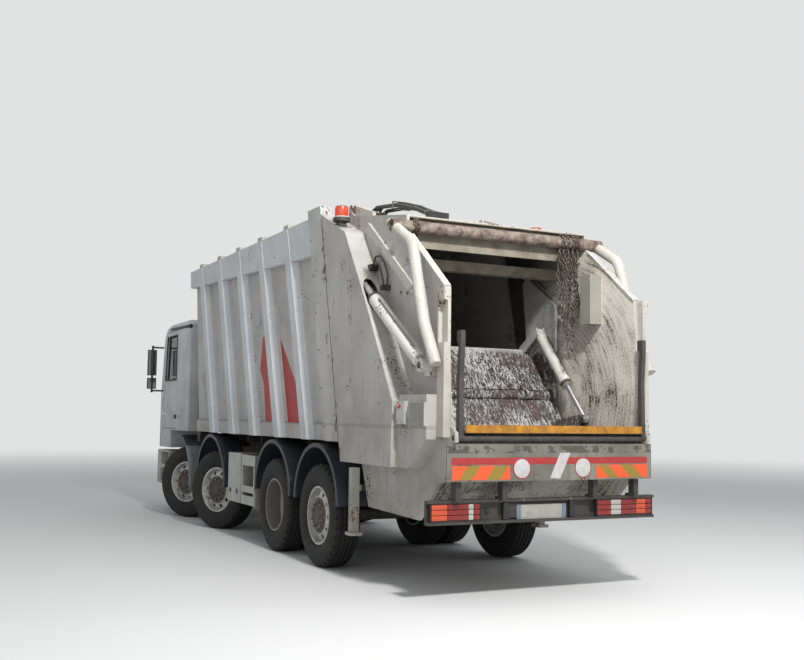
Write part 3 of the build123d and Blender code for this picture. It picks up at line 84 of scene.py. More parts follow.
def add(tree, kind, links=None, **settings):
    """Adds a shader node, sets it, and sets or links its sockets. The kind of a maths node names its operation,
    a node links by its first live output, and a hex value is turned into its colour."""
    kind, *operation = kind.split()
    made = tree.nodes.new("ShaderNode" + kind)
    if operation:
        made.operation = operation[0]
    for name, value in settings.items():
        setattr(made, name, value)
    for name, value in (links or {}).items():
        if isinstance(value, bpy.types.Node):
            value = next(socket for socket in value.outputs if socket.enabled)
        if isinstance(value, bpy.types.NodeSocket):
            tree.links.new(value, made.inputs[name])
        else:
            made.inputs[name].default_value = linear(value) if isinstance(value, str) else value
    return made


def material_of(name, surface, *values, **how):
    """Material whose shader a function builds."""
    material = bpy.data.materials.new(name)
    material.use_nodes = True
    tree = material.node_tree
    tree.nodes.clear()
    add(tree, "OutputMaterial", {"Surface": surface(tree, *values, **how)})
    return material


horizon, horizon_strength = "eceded", 0.90
world = bpy.data.worlds.new("studio_sky")
bpy.context.scene.world = world
world.use_nodes = True
tree = world.node_tree
tree.nodes.clear()
path = add(tree, "LightPath").outputs
seen = add(tree, "Math MAXIMUM", {0: path["Is Camera Ray"], 1: path["Is Glossy Ray"]})
dim = add(tree, "Background", {"Color": "dfe5ec", "Strength": 0.44})
bright = add(tree, "Background", {"Color": horizon, "Strength": horizon_strength})
add(tree, "OutputWorld", {"Surface": add(tree, "MixShader", {0: seen, 1: dim, 2: bright})})


def floor_surface(tree):
    """Floor paint that fades into the sky's colour far from the truck."""
    grain = add(tree, "TexNoise", {"Scale": 3.0, "Detail": 4.0})
    tone = add(tree, "Mix", {0: grain, 6: "d3d3d1", 7: "dbdbd9"}, data_type="RGBA")
    shade = add(tree, "BsdfPrincipled", {"Base Color": tone, "Roughness": 0.85})
    spot = add(tree, "TexCoord").outputs["Object"]
    reach = add(tree, "VectorMath LENGTH", {0: spot})
    fade = add(tree, "MapRange", {"Value": reach, "From Min": 7.0, "From Max": 34.0}, interpolation_type="SMOOTHSTEP")
    glow = add(tree, "Emission", {"Color": horizon, "Strength": horizon_strength})
    return add(tree, "MixShader", {0: fade, 1: shade, 2: glow})


bpy.ops.mesh.primitive_plane_add(size=120, location=(0, 0, 0))
floor = bpy.context.object
floor.name = "studio_floor"
floor.data.materials.append(material_of("studio_floor_paint", floor_surface))

lamp_table = [
    # place, aim, size in metres, power in watts
    ((-2.0, -1.0, 11.0), (0.0, 0.0, 1.5), 11.0, 500.0),
    ((-12.0, 9.0, 5.0), (-2.5, 0.5, 1.8), 6.0, 170.0),
    ((-9.0, -9.0, 7.0), (-3.5, 0.0, 2.0), 5.0, 130.0),
    ((-9.8, 1.5, 7.4), (-3.7, -0.7, 2.3), 0.7, 760.0),
]
for place, aim, size, power in lamp_table:
    bpy.ops.object.light_add(type="AREA", location=place)
    lamp = bpy.context.object
    lamp.data.size = size
    lamp.data.energy = power
    lamp.rotation_euler = (Vector(aim) - Vector(place)).to_track_quat("-Z", "Y").to_euler()

# Body and cab paint. Two-pack polyurethane truck paint over steel, sprayed, then years of street dirt:
# a warm grey white, dull, with rain streaks, road film towards the bottom and rust where it has chipped.
# Station of the rust band's middle at the ground, and height of the dirt's tide line.
rust_station, tide_height = 1.515, 1.478


def paint(tree, fresh, dirty, rust="5a3421", chips=0.50, streaks=0.45, low=1.3, tail=False):
    """Shader of sprayed paint with dirt streaks, a film of road dirt below and rusted chips."""
    spot = add(tree, "TexCoord").outputs["Object"]
    split = add(tree, "SeparateXYZ", {0: spot}).outputs
    # Cloudy dirt, about half a metre across
    cloud = add(tree, "TexNoise", {"Vector": spot, "Scale": 1.7, "Detail": 7.0, "Roughness": 0.62})
    cloudy = add(tree, "MapRange", {"Value": cloud, "From Min": 0.38, "From Max": 0.78, "To Max": 0.5})
    # Rain streaks, 20 to 60 mm wide and a metre long
    streak = add(tree, "Mapping", {"Vector": spot, "Scale": (16.0, 16.0, 0.9)})
    streak = add(tree, "TexNoise", {"Vector": streak, "Scale": 1.0, "Detail": 5.0, "Roughness": 0.6})
    streak = add(tree, "MapRange", {"Value": streak, "From Min": 0.50, "From Max": 0.78, "To Max": streaks})
    # Road film that thickens towards the ground
    film = {"Value": split[2], "From Min": low + 0.9, "From Max": low - 0.5, "To Max": 0.825}
    film = add(tree, "Math MULTIPLY", {0: add(tree, "MapRange", film), 1: cloud})
    dirt = add(tree, "Math MAXIMUM", {0: cloudy, 1: streak})
    dirt = add(tree, "Math ADD", {0: dirt, 1: film}, use_clamp=True)
    layers = [(dirt, dirty)]
    # Chips of 5 to 30 mm that have rusted, in clusters
    fine = add(tree, "TexNoise", {"Vector": spot, "Scale": 42.0, "Detail": 3.0, "Roughness": 0.7})
    group = add(tree, "TexNoise", {"Vector": spot, "Scale": 3.1, "Detail": 2.0})
    bare = add(tree, "Math MULTIPLY", {0: fine, 1: group})
    start = 0.30 + 0.16 * chips
    bare = add(tree, "MapRange", {"Value": bare, "From Min": start, "From Max": start + 0.03})
    if tail:
        # Rust blotches within 70 mm of the seam, where the tailgate's frame strikes the body
        away = add(tree, "Math MULTIPLY_ADD", {0: split[2], 1: -seam_lean, 2: split[0]})
        away = add(tree, "Math ADD", {0: away, 1: origin - rust_station})
        away = add(tree, "Math ABSOLUTE", {0: away})
        near = add(tree, "MapRange", {"Value": away, "From Min": 0.1, "From Max": 0.045})
        blot = add(tree, "TexNoise", {"Vector": spot, "Scale": 7.5, "Detail": 5.0, "Roughness": 0.7})
        blot = add(tree, "MapRange", {"Value": blot, "From Min": 0.555, "From Max": 0.585})
        blot = add(tree, "Math MULTIPLY", {0: blot, 1: near})
        bare = add(tree, "Math MAXIMUM", {0: blot, 1: bare})
        # Tide line of dirt 170 mm above the sill
        rise = add(tree, "Math SUBTRACT", {0: split[2], 1: tide_height})
        rise = add(tree, "Math ABSOLUTE", {0: rise})
        line = add(tree, "MapRange", {"Value": rise, "From Min": 0.026, "From Max": 0.006, "To Max": 0.38})
        layers.append((line, "6f6c60"))
    colour = fresh
    for mask, tone in layers + [(bare, rust)]:
        colour = add(tree, "Mix", {0: mask, 6: colour, 7: tone}, data_type="RGBA")
    gloss = add(tree, "MapRange", {"Value": dirt, "To Min": 0.48, "To Max": 0.82})
    dust = add(tree, "TexNoise", {"Vector": spot, "Scale": 160.0, "Detail": 2.0})
    relief = add(tree, "Math SUBTRACT", {0: dust, 1: bare})
    bump = add(tree, "Bump", {"Height": relief, "Strength": 0.25, "Distance": 0.0015})
    return add(tree, "BsdfPrincipled", {"Base Color": colour, "Roughness": gloss, "Normal": bump})


def painted(name, *colours, **how):
    """Material of one sprayed paint."""
    return material_of(name, paint, *colours, **how)


def zones(tree, axis, edge, low_side, high_side):
    """Two surfaces that meet where a coordinate passes a value, alike on both sides of the truck."""
    value = add(tree, "SeparateXYZ", {0: add(tree, "TexCoord").outputs["Object"]}).outputs[axis]
    if axis == 1:
        value = add(tree, "Math ABSOLUTE", {0: value})
    mask = add(tree, "MapRange", {"Value": value, "From Min": edge - 0.001, "From Max": edge + 0.001})
    return add(tree, "MixShader", {0: mask, 1: low_side(tree), 2: high_side(tree)})


def rib_paint_with_painted_highlight(tree):
    """The ribs stand proud and stay cleaner; their paint is lighter and bluer than the panels', a painted highlight of
    the sky's light.
    """
    return paint(tree, "cfd2d4", "a5a5a3", chips=0.58, streaks=0.35)


def panel_paint(tree):
    """Flat panels between the ribs."""
    return paint(tree, "bdbab7", "8b867f", tail=True, chips=0.5, streaks=0.5)


def gate_paint(tree):
    """Outer boxes of the tailgate, the dirtiest part of the outside."""
    return paint(tree, "b8b5b0", "7e786f", tail=True, chips=0.44, streaks=0.6)


# The ribs get a painted highlight: lighter, bluer paint than the flat panels between them.
body_paint = material_of("body_polyurethane_paint", zones, 1, 1.182, panel_paint, rib_paint_with_painted_highlight)
cab_paint = painted("cab_polyurethane_paint", "cfd2d4", "97958f", chips=0.75, streaks=0.35)
roof_paint = painted("roof_polyurethane_paint", "bab6ad", "7a7468", chips=0.45)
frame_paint = painted("portal_polyurethane_paint", "bfbdb9", "857f76", tail=True, chips=0.42)

# Scratched plates of the hopper. Mild steel once painted off white; the refuse drags along them,
# so the slope is a dense mesh of black and white ticks and the walls carry long brown scrapes.


def scraped(
    tree, cover, bare, dark, share, angle,
    across=70.0, along=13.0, band=None, clump=1.0, lean=28,
):
    """Shader of painted plate with ticks that run down a slope, given by its angle from the ground."""
    spot = add(tree, "TexCoord").outputs["Object"]
    turn = add(tree, "Mapping", {"Vector": spot, "Rotation": (0.0, radians(angle), 0.0)})
    ticks = {"Vector": turn, "Rotation": (0.0, 0.0, radians(lean)), "Scale": (along, across, 20.0)}
    ticks = {"Vector": add(tree, "Mapping", ticks), "Scale": 1.0, "Detail": 5.0, "Roughness": 0.72, "Distortion": 0.7}
    tick = add(tree, "TexNoise", ticks)
    patch = add(tree, "TexNoise", {"Vector": spot, "Scale": 1.9, "Detail": 5.0, "Roughness": 0.6})
    grit = add(tree, "TexNoise", {"Vector": spot, "Scale": 120.0, "Detail": 3.0, "Roughness": 0.7})
    total = add(tree, "Math MULTIPLY_ADD", {0: patch, 1: clump, 2: tick})
    fine = add(tree, "Math MULTIPLY", {0: grit, 1: 0.35})
    total = add(tree, "Math ADD", {0: total, 1: fine})
    start = 0.69 + 0.5 * clump + 0.26 * (0.5 - share)
    amount = add(tree, "MapRange", {"Value": total, "From Min": start, "From Max": start + 0.07})
    if band:
        # A strip along the top edge stays painted
        height = add(tree, "SeparateXYZ", {0: spot}).outputs[2]
        keep = {"Value": height, "From Min": band - 0.05, "From Max": band, "To Min": 1.0, "To Max": 0.25}
        amount = add(tree, "Math MULTIPLY", {0: amount, 1: add(tree, "MapRange", keep)})
    stain = add(tree, "MapRange", {"Value": patch, "From Min": 0.45, "From Max": 0.68, "To Max": 0.8})
    film = add(tree, "MapRange", {"Value": patch, "From Min": 0.42, "From Max": 0.75, "To Max": 0.5})
    top = add(tree, "Mix", {0: film, 6: cover, 7: bare}, data_type="RGBA")
    under = add(tree, "Mix", {0: stain, 6: dark, 7: bare}, data_type="RGBA")
    colour = add(tree, "Mix", {0: amount, 6: top, 7: under}, data_type="RGBA")
    gloss = add(tree, "MapRange", {"Value": amount, "To Min": 0.5, "To Max": 0.36})
    deep = add(tree, "Math SUBTRACT", {0: fine, 1: amount})
    bump = add(tree, "Bump", {"Height": deep, "Strength": 0.45, "Distance": 0.002})
    return add(tree, "BsdfPrincipled", {"Base Color": colour, "Roughness": gloss, "Normal": bump})


def swept_wall(tree):
    """Inner walls: cream paint with arcs scraped by what the blade pushes, round the blade's pivot, and painted shade
    deep inside.
    """
    spot = add(tree, "TexCoord").outputs["Object"]
    here = add(tree, "VectorMath SUBTRACT", {0: spot, 1: (1.3 - origin, 0.0, 1.8)})
    split = add(tree, "SeparateXYZ", {0: here}).outputs
    flat = add(tree, "CombineXYZ", {0: split[0], 1: split[2]})
    reach = add(tree, "VectorMath LENGTH", {0: flat})
    turn = add(tree, "Math ARCTAN2", {0: split[2], 1: split[0]})
    arc = add(tree, "CombineXYZ", {0: reach, 1: turn, 2: split[1]})
    arc = add(tree, "Mapping", {"Vector": arc, "Scale": (36.0, 2.2, 1.0)})
    arc = {"Vector": arc, "Scale": 1.0, "Detail": 8.0, "Roughness": 0.66, "Distortion": 0.6}
    patch = add(tree, "TexNoise", {"Vector": spot, "Scale": 2.1, "Detail": 6.0, "Roughness": 0.62})
    grit = add(tree, "TexNoise", {"Vector": spot, "Scale": 48.0, "Detail": 5.0, "Roughness": 0.8})
    total = add(tree, "Math ADD", {0: add(tree, "TexNoise", arc), 1: patch})
    total = add(tree, "Math ADD", {0: total, 1: grit})
    place = add(tree, "SeparateXYZ", {0: spot}).outputs
    clean = add(tree, "MapRange", {"Value": place[2], "From Min": 2.35, "From Max": 3.05, "To Max": 0.13})
    total = add(tree, "Math SUBTRACT", {0: total, 1: clean})
    soft = add(tree, "MapRange", {"Value": total, "From Min": 1.38, "From Max": 1.72, "To Max": 0.85})
    hard = add(tree, "MapRange", {"Value": total, "From Min": 1.635, "From Max": 1.68})
    brown = add(tree, "Mix", {0: patch, 6: "8a6f5c", 7: "6d5a5b"}, data_type="RGBA")
    # Painted shade deep inside the hopper: the walls darken towards the front, where the sun doesn't reach
    deep = {"Value": place[0], "From Min": 1.10 - origin, "From Max": 1.75 - origin, "To Max": 0.93}
    deep = add(tree, "MapRange", deep)
    # Cover plate on the right wall, grey with a little film
    inside = 1.0
    for axis, middle, half in ((0, 0.600 - origin, 0.084), (1, -0.920, 0.0785), (2, 2.745, 0.249)):
        part = add(tree, "Math COMPARE", {0: place[axis], 1: middle, 2: half})
        inside = add(tree, "Math MULTIPLY", {0: inside, 1: part})
    plain = add(tree, "Mix", {0: patch, 6: "a9a89f", 7: "7e7a6e"}, data_type="RGBA")
    colour = "dcd8cd"
    for mask, tone in ((soft, brown), (hard, "2f2926"), (deep, "332c28"), (inside, plain)):
        colour = add(tree, "Mix", {0: mask, 6: colour, 7: tone}, data_type="RGBA")
    bump = add(tree, "Bump", {"Height": total, "Strength": 0.3, "Distance": 0.002})
    return add(tree, "BsdfPrincipled", {"Base Color": colour, "Roughness": 0.5, "Normal": bump})


def slope_plate(tree):
    """Bowl and ramp, worn nearly bare."""
    return scraped(tree, "a39e94", "5d4f46", "2d2724", 0.64, -20, clump=0.6)


def dusty_surface(
    tree, base, dust, amount, rough,
    scale=9.0, metallic=0.0, bump_size=90.0, depth=0.001, spread=0.25, coat=0.0,
):
    """Shader of a plain finish with patches of dust and a fine surface grain."""
    spot = add(tree, "TexCoord").outputs["Object"]
    cloud = add(tree, "TexNoise", {"Vector": spot, "Scale": scale, "Detail": 6.0, "Roughness": 0.65})
    lay = add(tree, "MapRange", {"Value": cloud, "From Min": 0.5 - spread, "From Max": 0.5 + spread, "To Max": amount})
    colour = add(tree, "Mix", {0: lay, 6: base, 7: dust}, data_type="RGBA")
    gloss = add(tree, "MapRange", {"Value": lay, "To Min": rough, "To Max": min(1.0, rough + 0.3)})
    grain = add(tree, "TexNoise", {"Vector": spot, "Scale": bump_size, "Detail": 3.0})
    bump = add(tree, "Bump", {"Height": grain, "Strength": 0.35, "Distance": depth})
    return add(tree, "BsdfPrincipled", {
        "Base Color": colour, "Roughness": gloss, "Normal": bump, "Metallic": metallic, "Coat Weight": coat,
    })


def sill_paint(tree):
    """Sill under the lip: grey olive paint with a row of dark grease patches."""
    plain = paint(tree, "88867c", "4f4a41", chips=0.28, streaks=0.6, rust="3f3128")
    spot = add(tree, "TexCoord").outputs["Object"]
    height = add(tree, "SeparateXYZ", {0: spot}).outputs[2]
    row = add(tree, "Math COMPARE", {0: height, 1: 1.300, 2: 0.032})
    worn = add(tree, "TexNoise", {"Vector": spot, "Scale": 8.5, "Detail": 3.0, "Roughness": 0.6})
    worn = add(tree, "MapRange", {"Value": worn, "From Min": 0.49, "From Max": 0.53, "To Max": 0.85})
    worn = add(tree, "Math MULTIPLY", {0: worn, 1: row})
    dark = dusty_surface(tree, "3d3b37", "5a554c", 0.5, 0.6)
    return add(tree, "MixShader", {0: worn, 1: plain, 2: dark})


blade_plate = material_of(
    "scraped_blade_plate", scraped, "c2c1bd", "6b5a54", "282625", 0.84, 55,
    across=62.0, along=19.0, band=2.29, clump=0.55, lean=-24,
)
bowl_plate = material_of("bowl_and_sill", zones, 0, -0.091 - origin, sill_paint, slope_plate)
gate_plate = material_of("tailgate_side_paint", zones, 1, 1.0035, swept_wall, gate_paint)

# Other finishes of the truck, each named for what it is.
# They share one recipe: a base colour, cloudy dust over it and a fine bump.


def dusty(name, *values, **how):
    """Material of one plain finish."""
    return material_of(name, dusty_surface, *values, **how)


def rail_enamel(tree):
    """Chassis enamel under thick road dust."""
    return dusty_surface(tree, "1f1f20", "6a6259", 0.55, 0.6)


def stand_paint(tree):
    """Pale paint of the rear stands."""
    return paint(tree, "c6c3bb", "7d776c", chips=0.40, low=0.9)


def guard_dark(tree):
    """Blue black guard plastic, dusty on top."""
    return dusty_surface(tree, "191d25", "4c5057", 0.42, 0.42, scale=3.0)


def guard_grey(tree):
    """Rear part of the first guard, grey with road film."""
    return dusty_surface(tree, "6e747b", "8b8a86", 0.6, 0.55, scale=3.0)


# Cross tube at the top of the hopper's mouth, and the slope of the tailgate's roof above it.
tube_x, tube_z, roof_slope = 0.800 - origin, 3.330, 0.1587


def frame_surface(tree):
    """Tailgate frame: light paint outside and on top, flaked rust on the cross tube, grime on the beams."""
    spot = add(tree, "TexCoord").outputs["Object"]
    split = add(tree, "SeparateXYZ", {0: spot}).outputs
    light = paint(tree, "c4c0b7", "7d7265", chips=0.32, streaks=0.6)
    grimy = dusty_surface(tree, "9f9887", "5c5146", 0.9, 0.6, scale=6.0)
    rusty = dusty_surface(
        tree, "47342d", "9d9184", 0.85, 0.60, scale=14.0, bump_size=70.0, depth=0.003, spread=0.15,
    )
    # Outside of the inner walls, or on top of the roof plate
    aside = add(tree, "Math ABSOLUTE", {0: split[1]})
    aside = add(tree, "Math GREATER_THAN", {0: aside, 1: 0.9995})
    rise = add(tree, "Math MULTIPLY_ADD", {0: split[0], 1: -roof_slope, 2: split[2]})
    roof = add(tree, "Math GREATER_THAN", {0: rise, 1: tube_z + 0.1 - roof_slope * tube_x})
    fair = add(tree, "Math MAXIMUM", {0: aside, 1: roof})
    # Within 66 mm of the cross tube's axis
    away = add(tree, "VectorMath SUBTRACT", {0: spot, 1: (tube_x, 0.0, tube_z)})
    away = add(tree, "VectorMath MULTIPLY", {0: away, 1: (1.0, 0.0, 1.0)})
    away = add(tree, "VectorMath LENGTH", {0: away})
    tube = add(tree, "Math LESS_THAN", {0: away, 1: 0.066})
    both = add(tree, "MixShader", {0: fair, 1: grimy, 2: light})
    return add(tree, "MixShader", {0: tube, 1: both, 2: rusty})


def glass_surface(tree):
    """Toughened panes over a dark cab, hazed by dust."""
    spot = add(tree, "TexCoord").outputs["Object"]
    film = add(tree, "TexNoise", {"Vector": spot, "Scale": 5.0, "Detail": 5.0})
    haze = add(tree, "MapRange", {"Value": film, "From Min": 0.3, "From Max": 0.8, "To Min": 0.03, "To Max": 0.2})
    return add(tree, "BsdfPrincipled", {"Base Color": "12181a", "Roughness": haze, "Alpha": 0.80})


chassis_paint = material_of("chassis_enamel", zones, 1, 1.03, rail_enamel, stand_paint)
floor_paint = dusty("subframe_enamel", "26241f", "5c554b", 0.6, 0.7)
guard_plastic = material_of("guard_polypropylene", guard_dark)
cab_guard = material_of("cab_guard_plastic", zones, 0, 7.60 - origin, guard_grey, guard_dark)
tyre_rubber = dusty("tyre_rubber", "0f0f0f", "37322e", 0.40, 0.80, scale=6.0, bump_size=220.0)
cast_iron = dusty("cast_iron_dusty", "2a2826", "6a6055", 0.6, 0.7)
locker_aluminium = dusty("locker_aluminium_sheet", "b9bbb9", "7f7b70", 0.55, 0.42, scale=4.0, metallic=0.7)
bumper_paint = painted("bumper_paint", "bdbbb5", "7b756b", chips=0.8, low=0.6)
black_plastic = dusty("black_moulded_plastic", "17181a", "4d4a45", 0.3, 0.5)
rubber_hose = dusty("hose_rubber", "161616", "4b4742", 0.35, 0.42)
frame_beam = material_of("tailgate_frame_paint", frame_surface)
cylinder_paint = painted("cylinder_paint", "dad7d0", "938c81", chips=0.42, streaks=0.3)
lip_paint = dusty("lip_orange_paint", "ba801f", "6f4a20", 0.8, 0.5, scale=11.0, spread=0.16)
dark_steel = dusty("dark_painted_steel", "2b2a2a", "6a625a", 0.5, 0.6)
bumper_steel = dusty("rear_bumper_steel", "242322", "57524b", 0.6, 0.5, scale=7.0)
chain_steel = dusty("chain_steel_rusty", "302825", "9a8c80", 0.6, 0.36, scale=60.0, metallic=0.7)
bolt_zinc = dusty("bolt_zinc_plate", "8f8b84", "5b4a3b", 0.8, 0.4, scale=50.0, metallic=0.6)
seat_cloth = dusty("seat_cloth", "2b2d31", "45454a", 0.4, 0.9, bump_size=400.0)
rod_chrome = dusty("rod_hard_chrome", "d2d3d4", "a5a19b", 0.4, 0.2, scale=6.0, metallic=0.85, depth=0.0002)
amber_lens = dusty("lens_amber_acrylic", "d23f1c", "b85236", 0.5, 0.2, coat=0.6)
ribbed = {"coat": 0.6, "bump_size": 160.0, "depth": 0.004}
orange_lens = dusty("lens_orange_acrylic", "cf4a22", "9c533c", 0.5, 0.2, **ribbed)
red_lens = dusty("lens_red_acrylic", "8c1c18", "5c2a24", 0.55, 0.2, **ribbed)
clear_lens = dusty("lens_clear_acrylic", "b9b5ae", "857e75", 0.55, 0.2, **ribbed)
lamp_housing = dusty("lamp_housing_abs", "2c1512", "4c3a36", 0.4, 0.4)
red_film = dusty("reflective_red_film", "a5262b", "7c4f45", 0.4, 0.45, scale=20.0)
orange_film = dusty("reflective_orange_film", "e8552b", "b06040", 0.3, 0.45, scale=20.0)
olive_film = dusty("reflective_olive_film", "92792b", "71623a", 0.4, 0.5, scale=20.0)
white_film = dusty("plain_white_film", "c6c4c4", "8b867f", 0.5, 0.5, scale=16.0)
dull_plate = dusty("plate_aluminium", "a9a79e", "77736a", 0.6, 0.45, scale=12.0)
blue_band = dusty("plate_blue_band", "5c7288", "7d8289", 0.5, 0.45, scale=12.0)
red_decal = dusty("red_vinyl", "a8211f", "8a3a33", 0.3, 0.42, scale=4.0)
grey_box = dusty("box_grey_paint", "8f8f8b", "6a655c", 0.5, 0.5, scale=8.0)
cover_paint = painted("panel_cover_paint", "c9cbc8", "8f8b83", chips=0.4)
knob_red = dusty("knob_red_plastic", "b0232a", "7c3733", 0.4, 0.35)
ejector_paint = painted("ejector_paint", "8d867a", "5b5147", chips=0.3)
cab_glass = material_of("cab_toughened_glass", glass_surface)


def dress(node, material):
    """Gives a CAD node one material."""
    mesh = nodes[node].data
    mesh.materials.clear()
    mesh.materials.append(material)


finish_table = [
    # finish, the nodes that it covers
    (chassis_paint, "chassis_frame"), (guard_plastic, "wheel_guards"), (cab_guard, "cab_guards"),
    (cast_iron, "engine axles knuckle_1_left knuckle_1_right knuckle_2_left knuckle_2_right"),
    (locker_aluminium, "side_boxes"), (bumper_paint, "front_bumper"), (clear_lens, "headlamps"),
    (floor_paint, "body_floor"), (body_paint, "body_sides"), (roof_paint, "body_roof"),
    (frame_paint, "body_rear_frame"), (ejector_paint, "ejector"), (cab_paint, "cab_shell door_left door_right"),
    (black_plastic, "air_intake cab_front_panel mirrors"), (seat_cloth, "cab_interior"),
    (cab_glass, "windscreen door_glass_left door_glass_right"), (gate_plate, "tailgate_sides"),
    (frame_beam, "tailgate_frame"), (bowl_plate, "hopper_bowl"), (lip_paint, "lip_strip"),
    (cylinder_paint, "outer_barrels lift_barrels blade_barrels"), (rod_chrome, "lift_rods blade_rods"),
    (bumper_steel, "rear_bumper"), (lamp_housing, "rear_lamps"), (dark_steel, "beacons bin_lift"),
    (blade_plate, "carriage blade"), (chain_steel, "chains"), (rubber_hose, "hoses"),
]
for finish, covered in finish_table:
    for node in covered.split():
        dress(node, finish)

# Rims. Pressed steel discs in silver enamel, their middle dark with grease and brake dust;
# each wheel's place is worked out once and its outer face looks along the wheel's +Y.
wheel_table = [
    # number, station of the axle, rest steering angle in degrees, offset of the kingpin
    (1, 8.030, 30.0, 0.900),
    (2, 6.330, 24.0, 0.900),
    (3, 3.780, 0.0, 1.070),
    (4, 2.430, 0.0, 1.070),
]
wheel_offset, wheel_height = 1.070, 0.530
sides = ((1, "left"), (-1, "right"))
wheels = []
for number, station, angle, pin in wheel_table:
    for side, word in sides:
        kingpin = Matrix.Translation((station - origin, side * pin, wheel_height))
        steer = Matrix.Rotation(radians(angle), 4, "Z")
        out = Matrix.Translation((0, side * (wheel_offset - pin), 0))
        flip = Matrix.Rotation(0.0 if side > 0 else pi, 4, "Z")
        wheels.append((number, word, kingpin @ steer @ out @ flip))


def rim_surface(tree, place, bright):
    """Silver enamel on the disc's outer ring, dark towards the hub."""
    spot = add(tree, "TexCoord").outputs["Object"]
    here = add(tree, "VectorMath SUBTRACT", {0: spot, 1: tuple(place.translation)})
    axle = add(tree, "VectorMath DOT_PRODUCT", {0: here, 1: tuple(place.col[1].xyz)})
    whole = add(tree, "VectorMath LENGTH", {0: here})
    square = add(tree, "Math POWER", {0: whole, 1: 2.0})
    part = add(tree, "Math MULTIPLY", {0: axle, 1: axle})
    reach = add(tree, "Math SUBTRACT", {0: square, 1: part})
    mask = add(tree, "MapRange", {"Value": reach, "From Min": 0.180 ** 2, "From Max": 0.192 ** 2})
    hub = dusty_surface(tree, "3a342f", "6d6157", 0.7, 0.55, scale=20.0)
    ring = dusty_surface(tree, bright, "5e564d", 0.6, 0.35, scale=16.0, metallic=0.35)
    return add(tree, "MixShader", {0: mask, 1: hub, 2: ring})


for number, word, place in wheels:
    tone = "8d8a84" if number == 3 else "c9c9c6"
    dress(f"rim_{number}_{word}", material_of(f"rim_enamel_{number}_{word}", rim_surface, place, tone))
    dress(f"tyre_{number}_{word}", tyre_rubber)

# Tyres. Radial truck tyres of about 1.06 m with a steer tread: four grooves round the tread and
# open lugs at the shoulder. One is modelled by spinning its section, then set on all ten rims.


def edited(operator, **settings):
    """Runs an operator on the whole mesh of the active object."""
    bpy.ops.object.mode_set(mode="EDIT")
    bpy.ops.mesh.select_all(action="SELECT")
    operator(**settings)
    bpy.ops.object.mode_set(mode="OBJECT")


def taken(piece):
    """Mesh of a modelled piece, kept to copy from."""
    mesh = piece.data
    bpy.data.objects.remove(piece)
    return mesh


def give(made, name, material, body):
    """Names a piece or a list to join, gives it its material and its body."""
    piece = merged(made) if isinstance(made, list) else made
    piece.name = name
    piece.data.materials.clear()
    piece.data.materials.append(material)
    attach(piece, body)
    return piece


def merged(made):
    """Joins several objects into one."""
    bpy.ops.object.select_all(action="DESELECT")
    for piece in made:
        piece.select_set(True)
    bpy.context.view_layer.objects.active = made[0]
    if len(made) > 1:
        bpy.ops.object.join()
    return bpy.context.object


def copies(mesh, matrices):
    """One object made of copies of a mesh."""
    made = []
    for matrix in matrices:
        copy = bpy.data.objects.new("copy", mesh.copy())
        bpy.context.scene.collection.objects.link(copy)
        copy.data.transform(matrix)
        made.append(copy)
    return merged(made)


tyre_section = [
    (0.112, 0.292), (0.112, 0.306), (0.129, 0.322), (0.144, 0.360), (0.1485, 0.402), (0.1465, 0.445),
    (0.1385, 0.480), (0.133, 0.5035), (0.112, 0.5262), (0.080, 0.5285), (0.077, 0.517), (0.068, 0.517),
    (0.065, 0.5292), (0.030, 0.5298), (0.027, 0.518), (0.018, 0.518), (0.015, 0.5299),
]
tyre_section += [(-y, r) for y, r in reversed(tyre_section)]
tyre_steps, twin_gap = 96, 0.340
bpy.ops.mesh.primitive_circle_add(vertices=len(tyre_section), radius=1.0)
tyre = bpy.context.object
for corner, (y, r) in zip(tyre.data.vertices, tyre_section):
    corner.co = (0.0, y, r)
edited(bpy.ops.mesh.spin, steps=tyre_steps, angle=2 * pi, center=(0, 0, 0), axis=(0, 1, 0))
edited(bpy.ops.mesh.remove_doubles, threshold=0.0005)
edited(bpy.ops.mesh.normals_make_consistent, inside=False)
edited(bpy.ops.mesh.select_all, action="DESELECT")
bpy.context.tool_settings.mesh_select_mode = (False, False, True)
for face in tyre.data.polygons:
    x, y, z = face.center
    step = int(round((atan2(x, z) + pi) / (2 * pi) * tyre_steps - 0.5))
    face.select = 0.112 < abs(y) < 0.136 and hypot(x, z) > 0.505 and step % 3 == 0
bpy.ops.object.mode_set(mode="EDIT")
bpy.ops.mesh.extrude_region_shrink_fatten(TRANSFORM_OT_shrink_fatten={"value": -0.011})
bpy.ops.object.mode_set(mode="OBJECT")
bpy.ops.object.shade_smooth_by_angle(angle=radians(28))
tyre_mesh = taken(tyre)
for number, word, place in wheels:
    spots = [place]
    if number == 3:
        spots.append(place @ Matrix.Translation((0, -twin_gap, 0)))
    rubber = give(copies(tyre_mesh, spots), f"tread_{number}_{word}", tyre_rubber, f"wheel_{number}_{word}")
    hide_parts(f"tyre_{number}_{word}")

# Wheel nuts. Ten zinc-plated hexagon nuts on a 276 mm circle hold each wheel, each on a stud
# whose end stands out of it.
nut_circle, nut_count = 0.276, 10


def headed(radius, depth, bevel, sides, round_radius, round_depth, round_height):
    """Mesh of a hexagon that stands on Z, with a round part on the same axis."""
    bpy.ops.object.select_all(action="DESELECT")
    bpy.ops.mesh.primitive_cylinder_add(vertices=6, radius=radius, depth=depth)
    hexagon = bpy.context.object
    edited(bpy.ops.mesh.bevel, offset=bevel, segments=1)
    bpy.ops.mesh.primitive_cylinder_add(
        vertices=sides, radius=round_radius, depth=round_depth, location=(0, 0, round_height),
    )
    bpy.ops.object.transform_apply()
    return taken(merged([hexagon, bpy.context.object]))


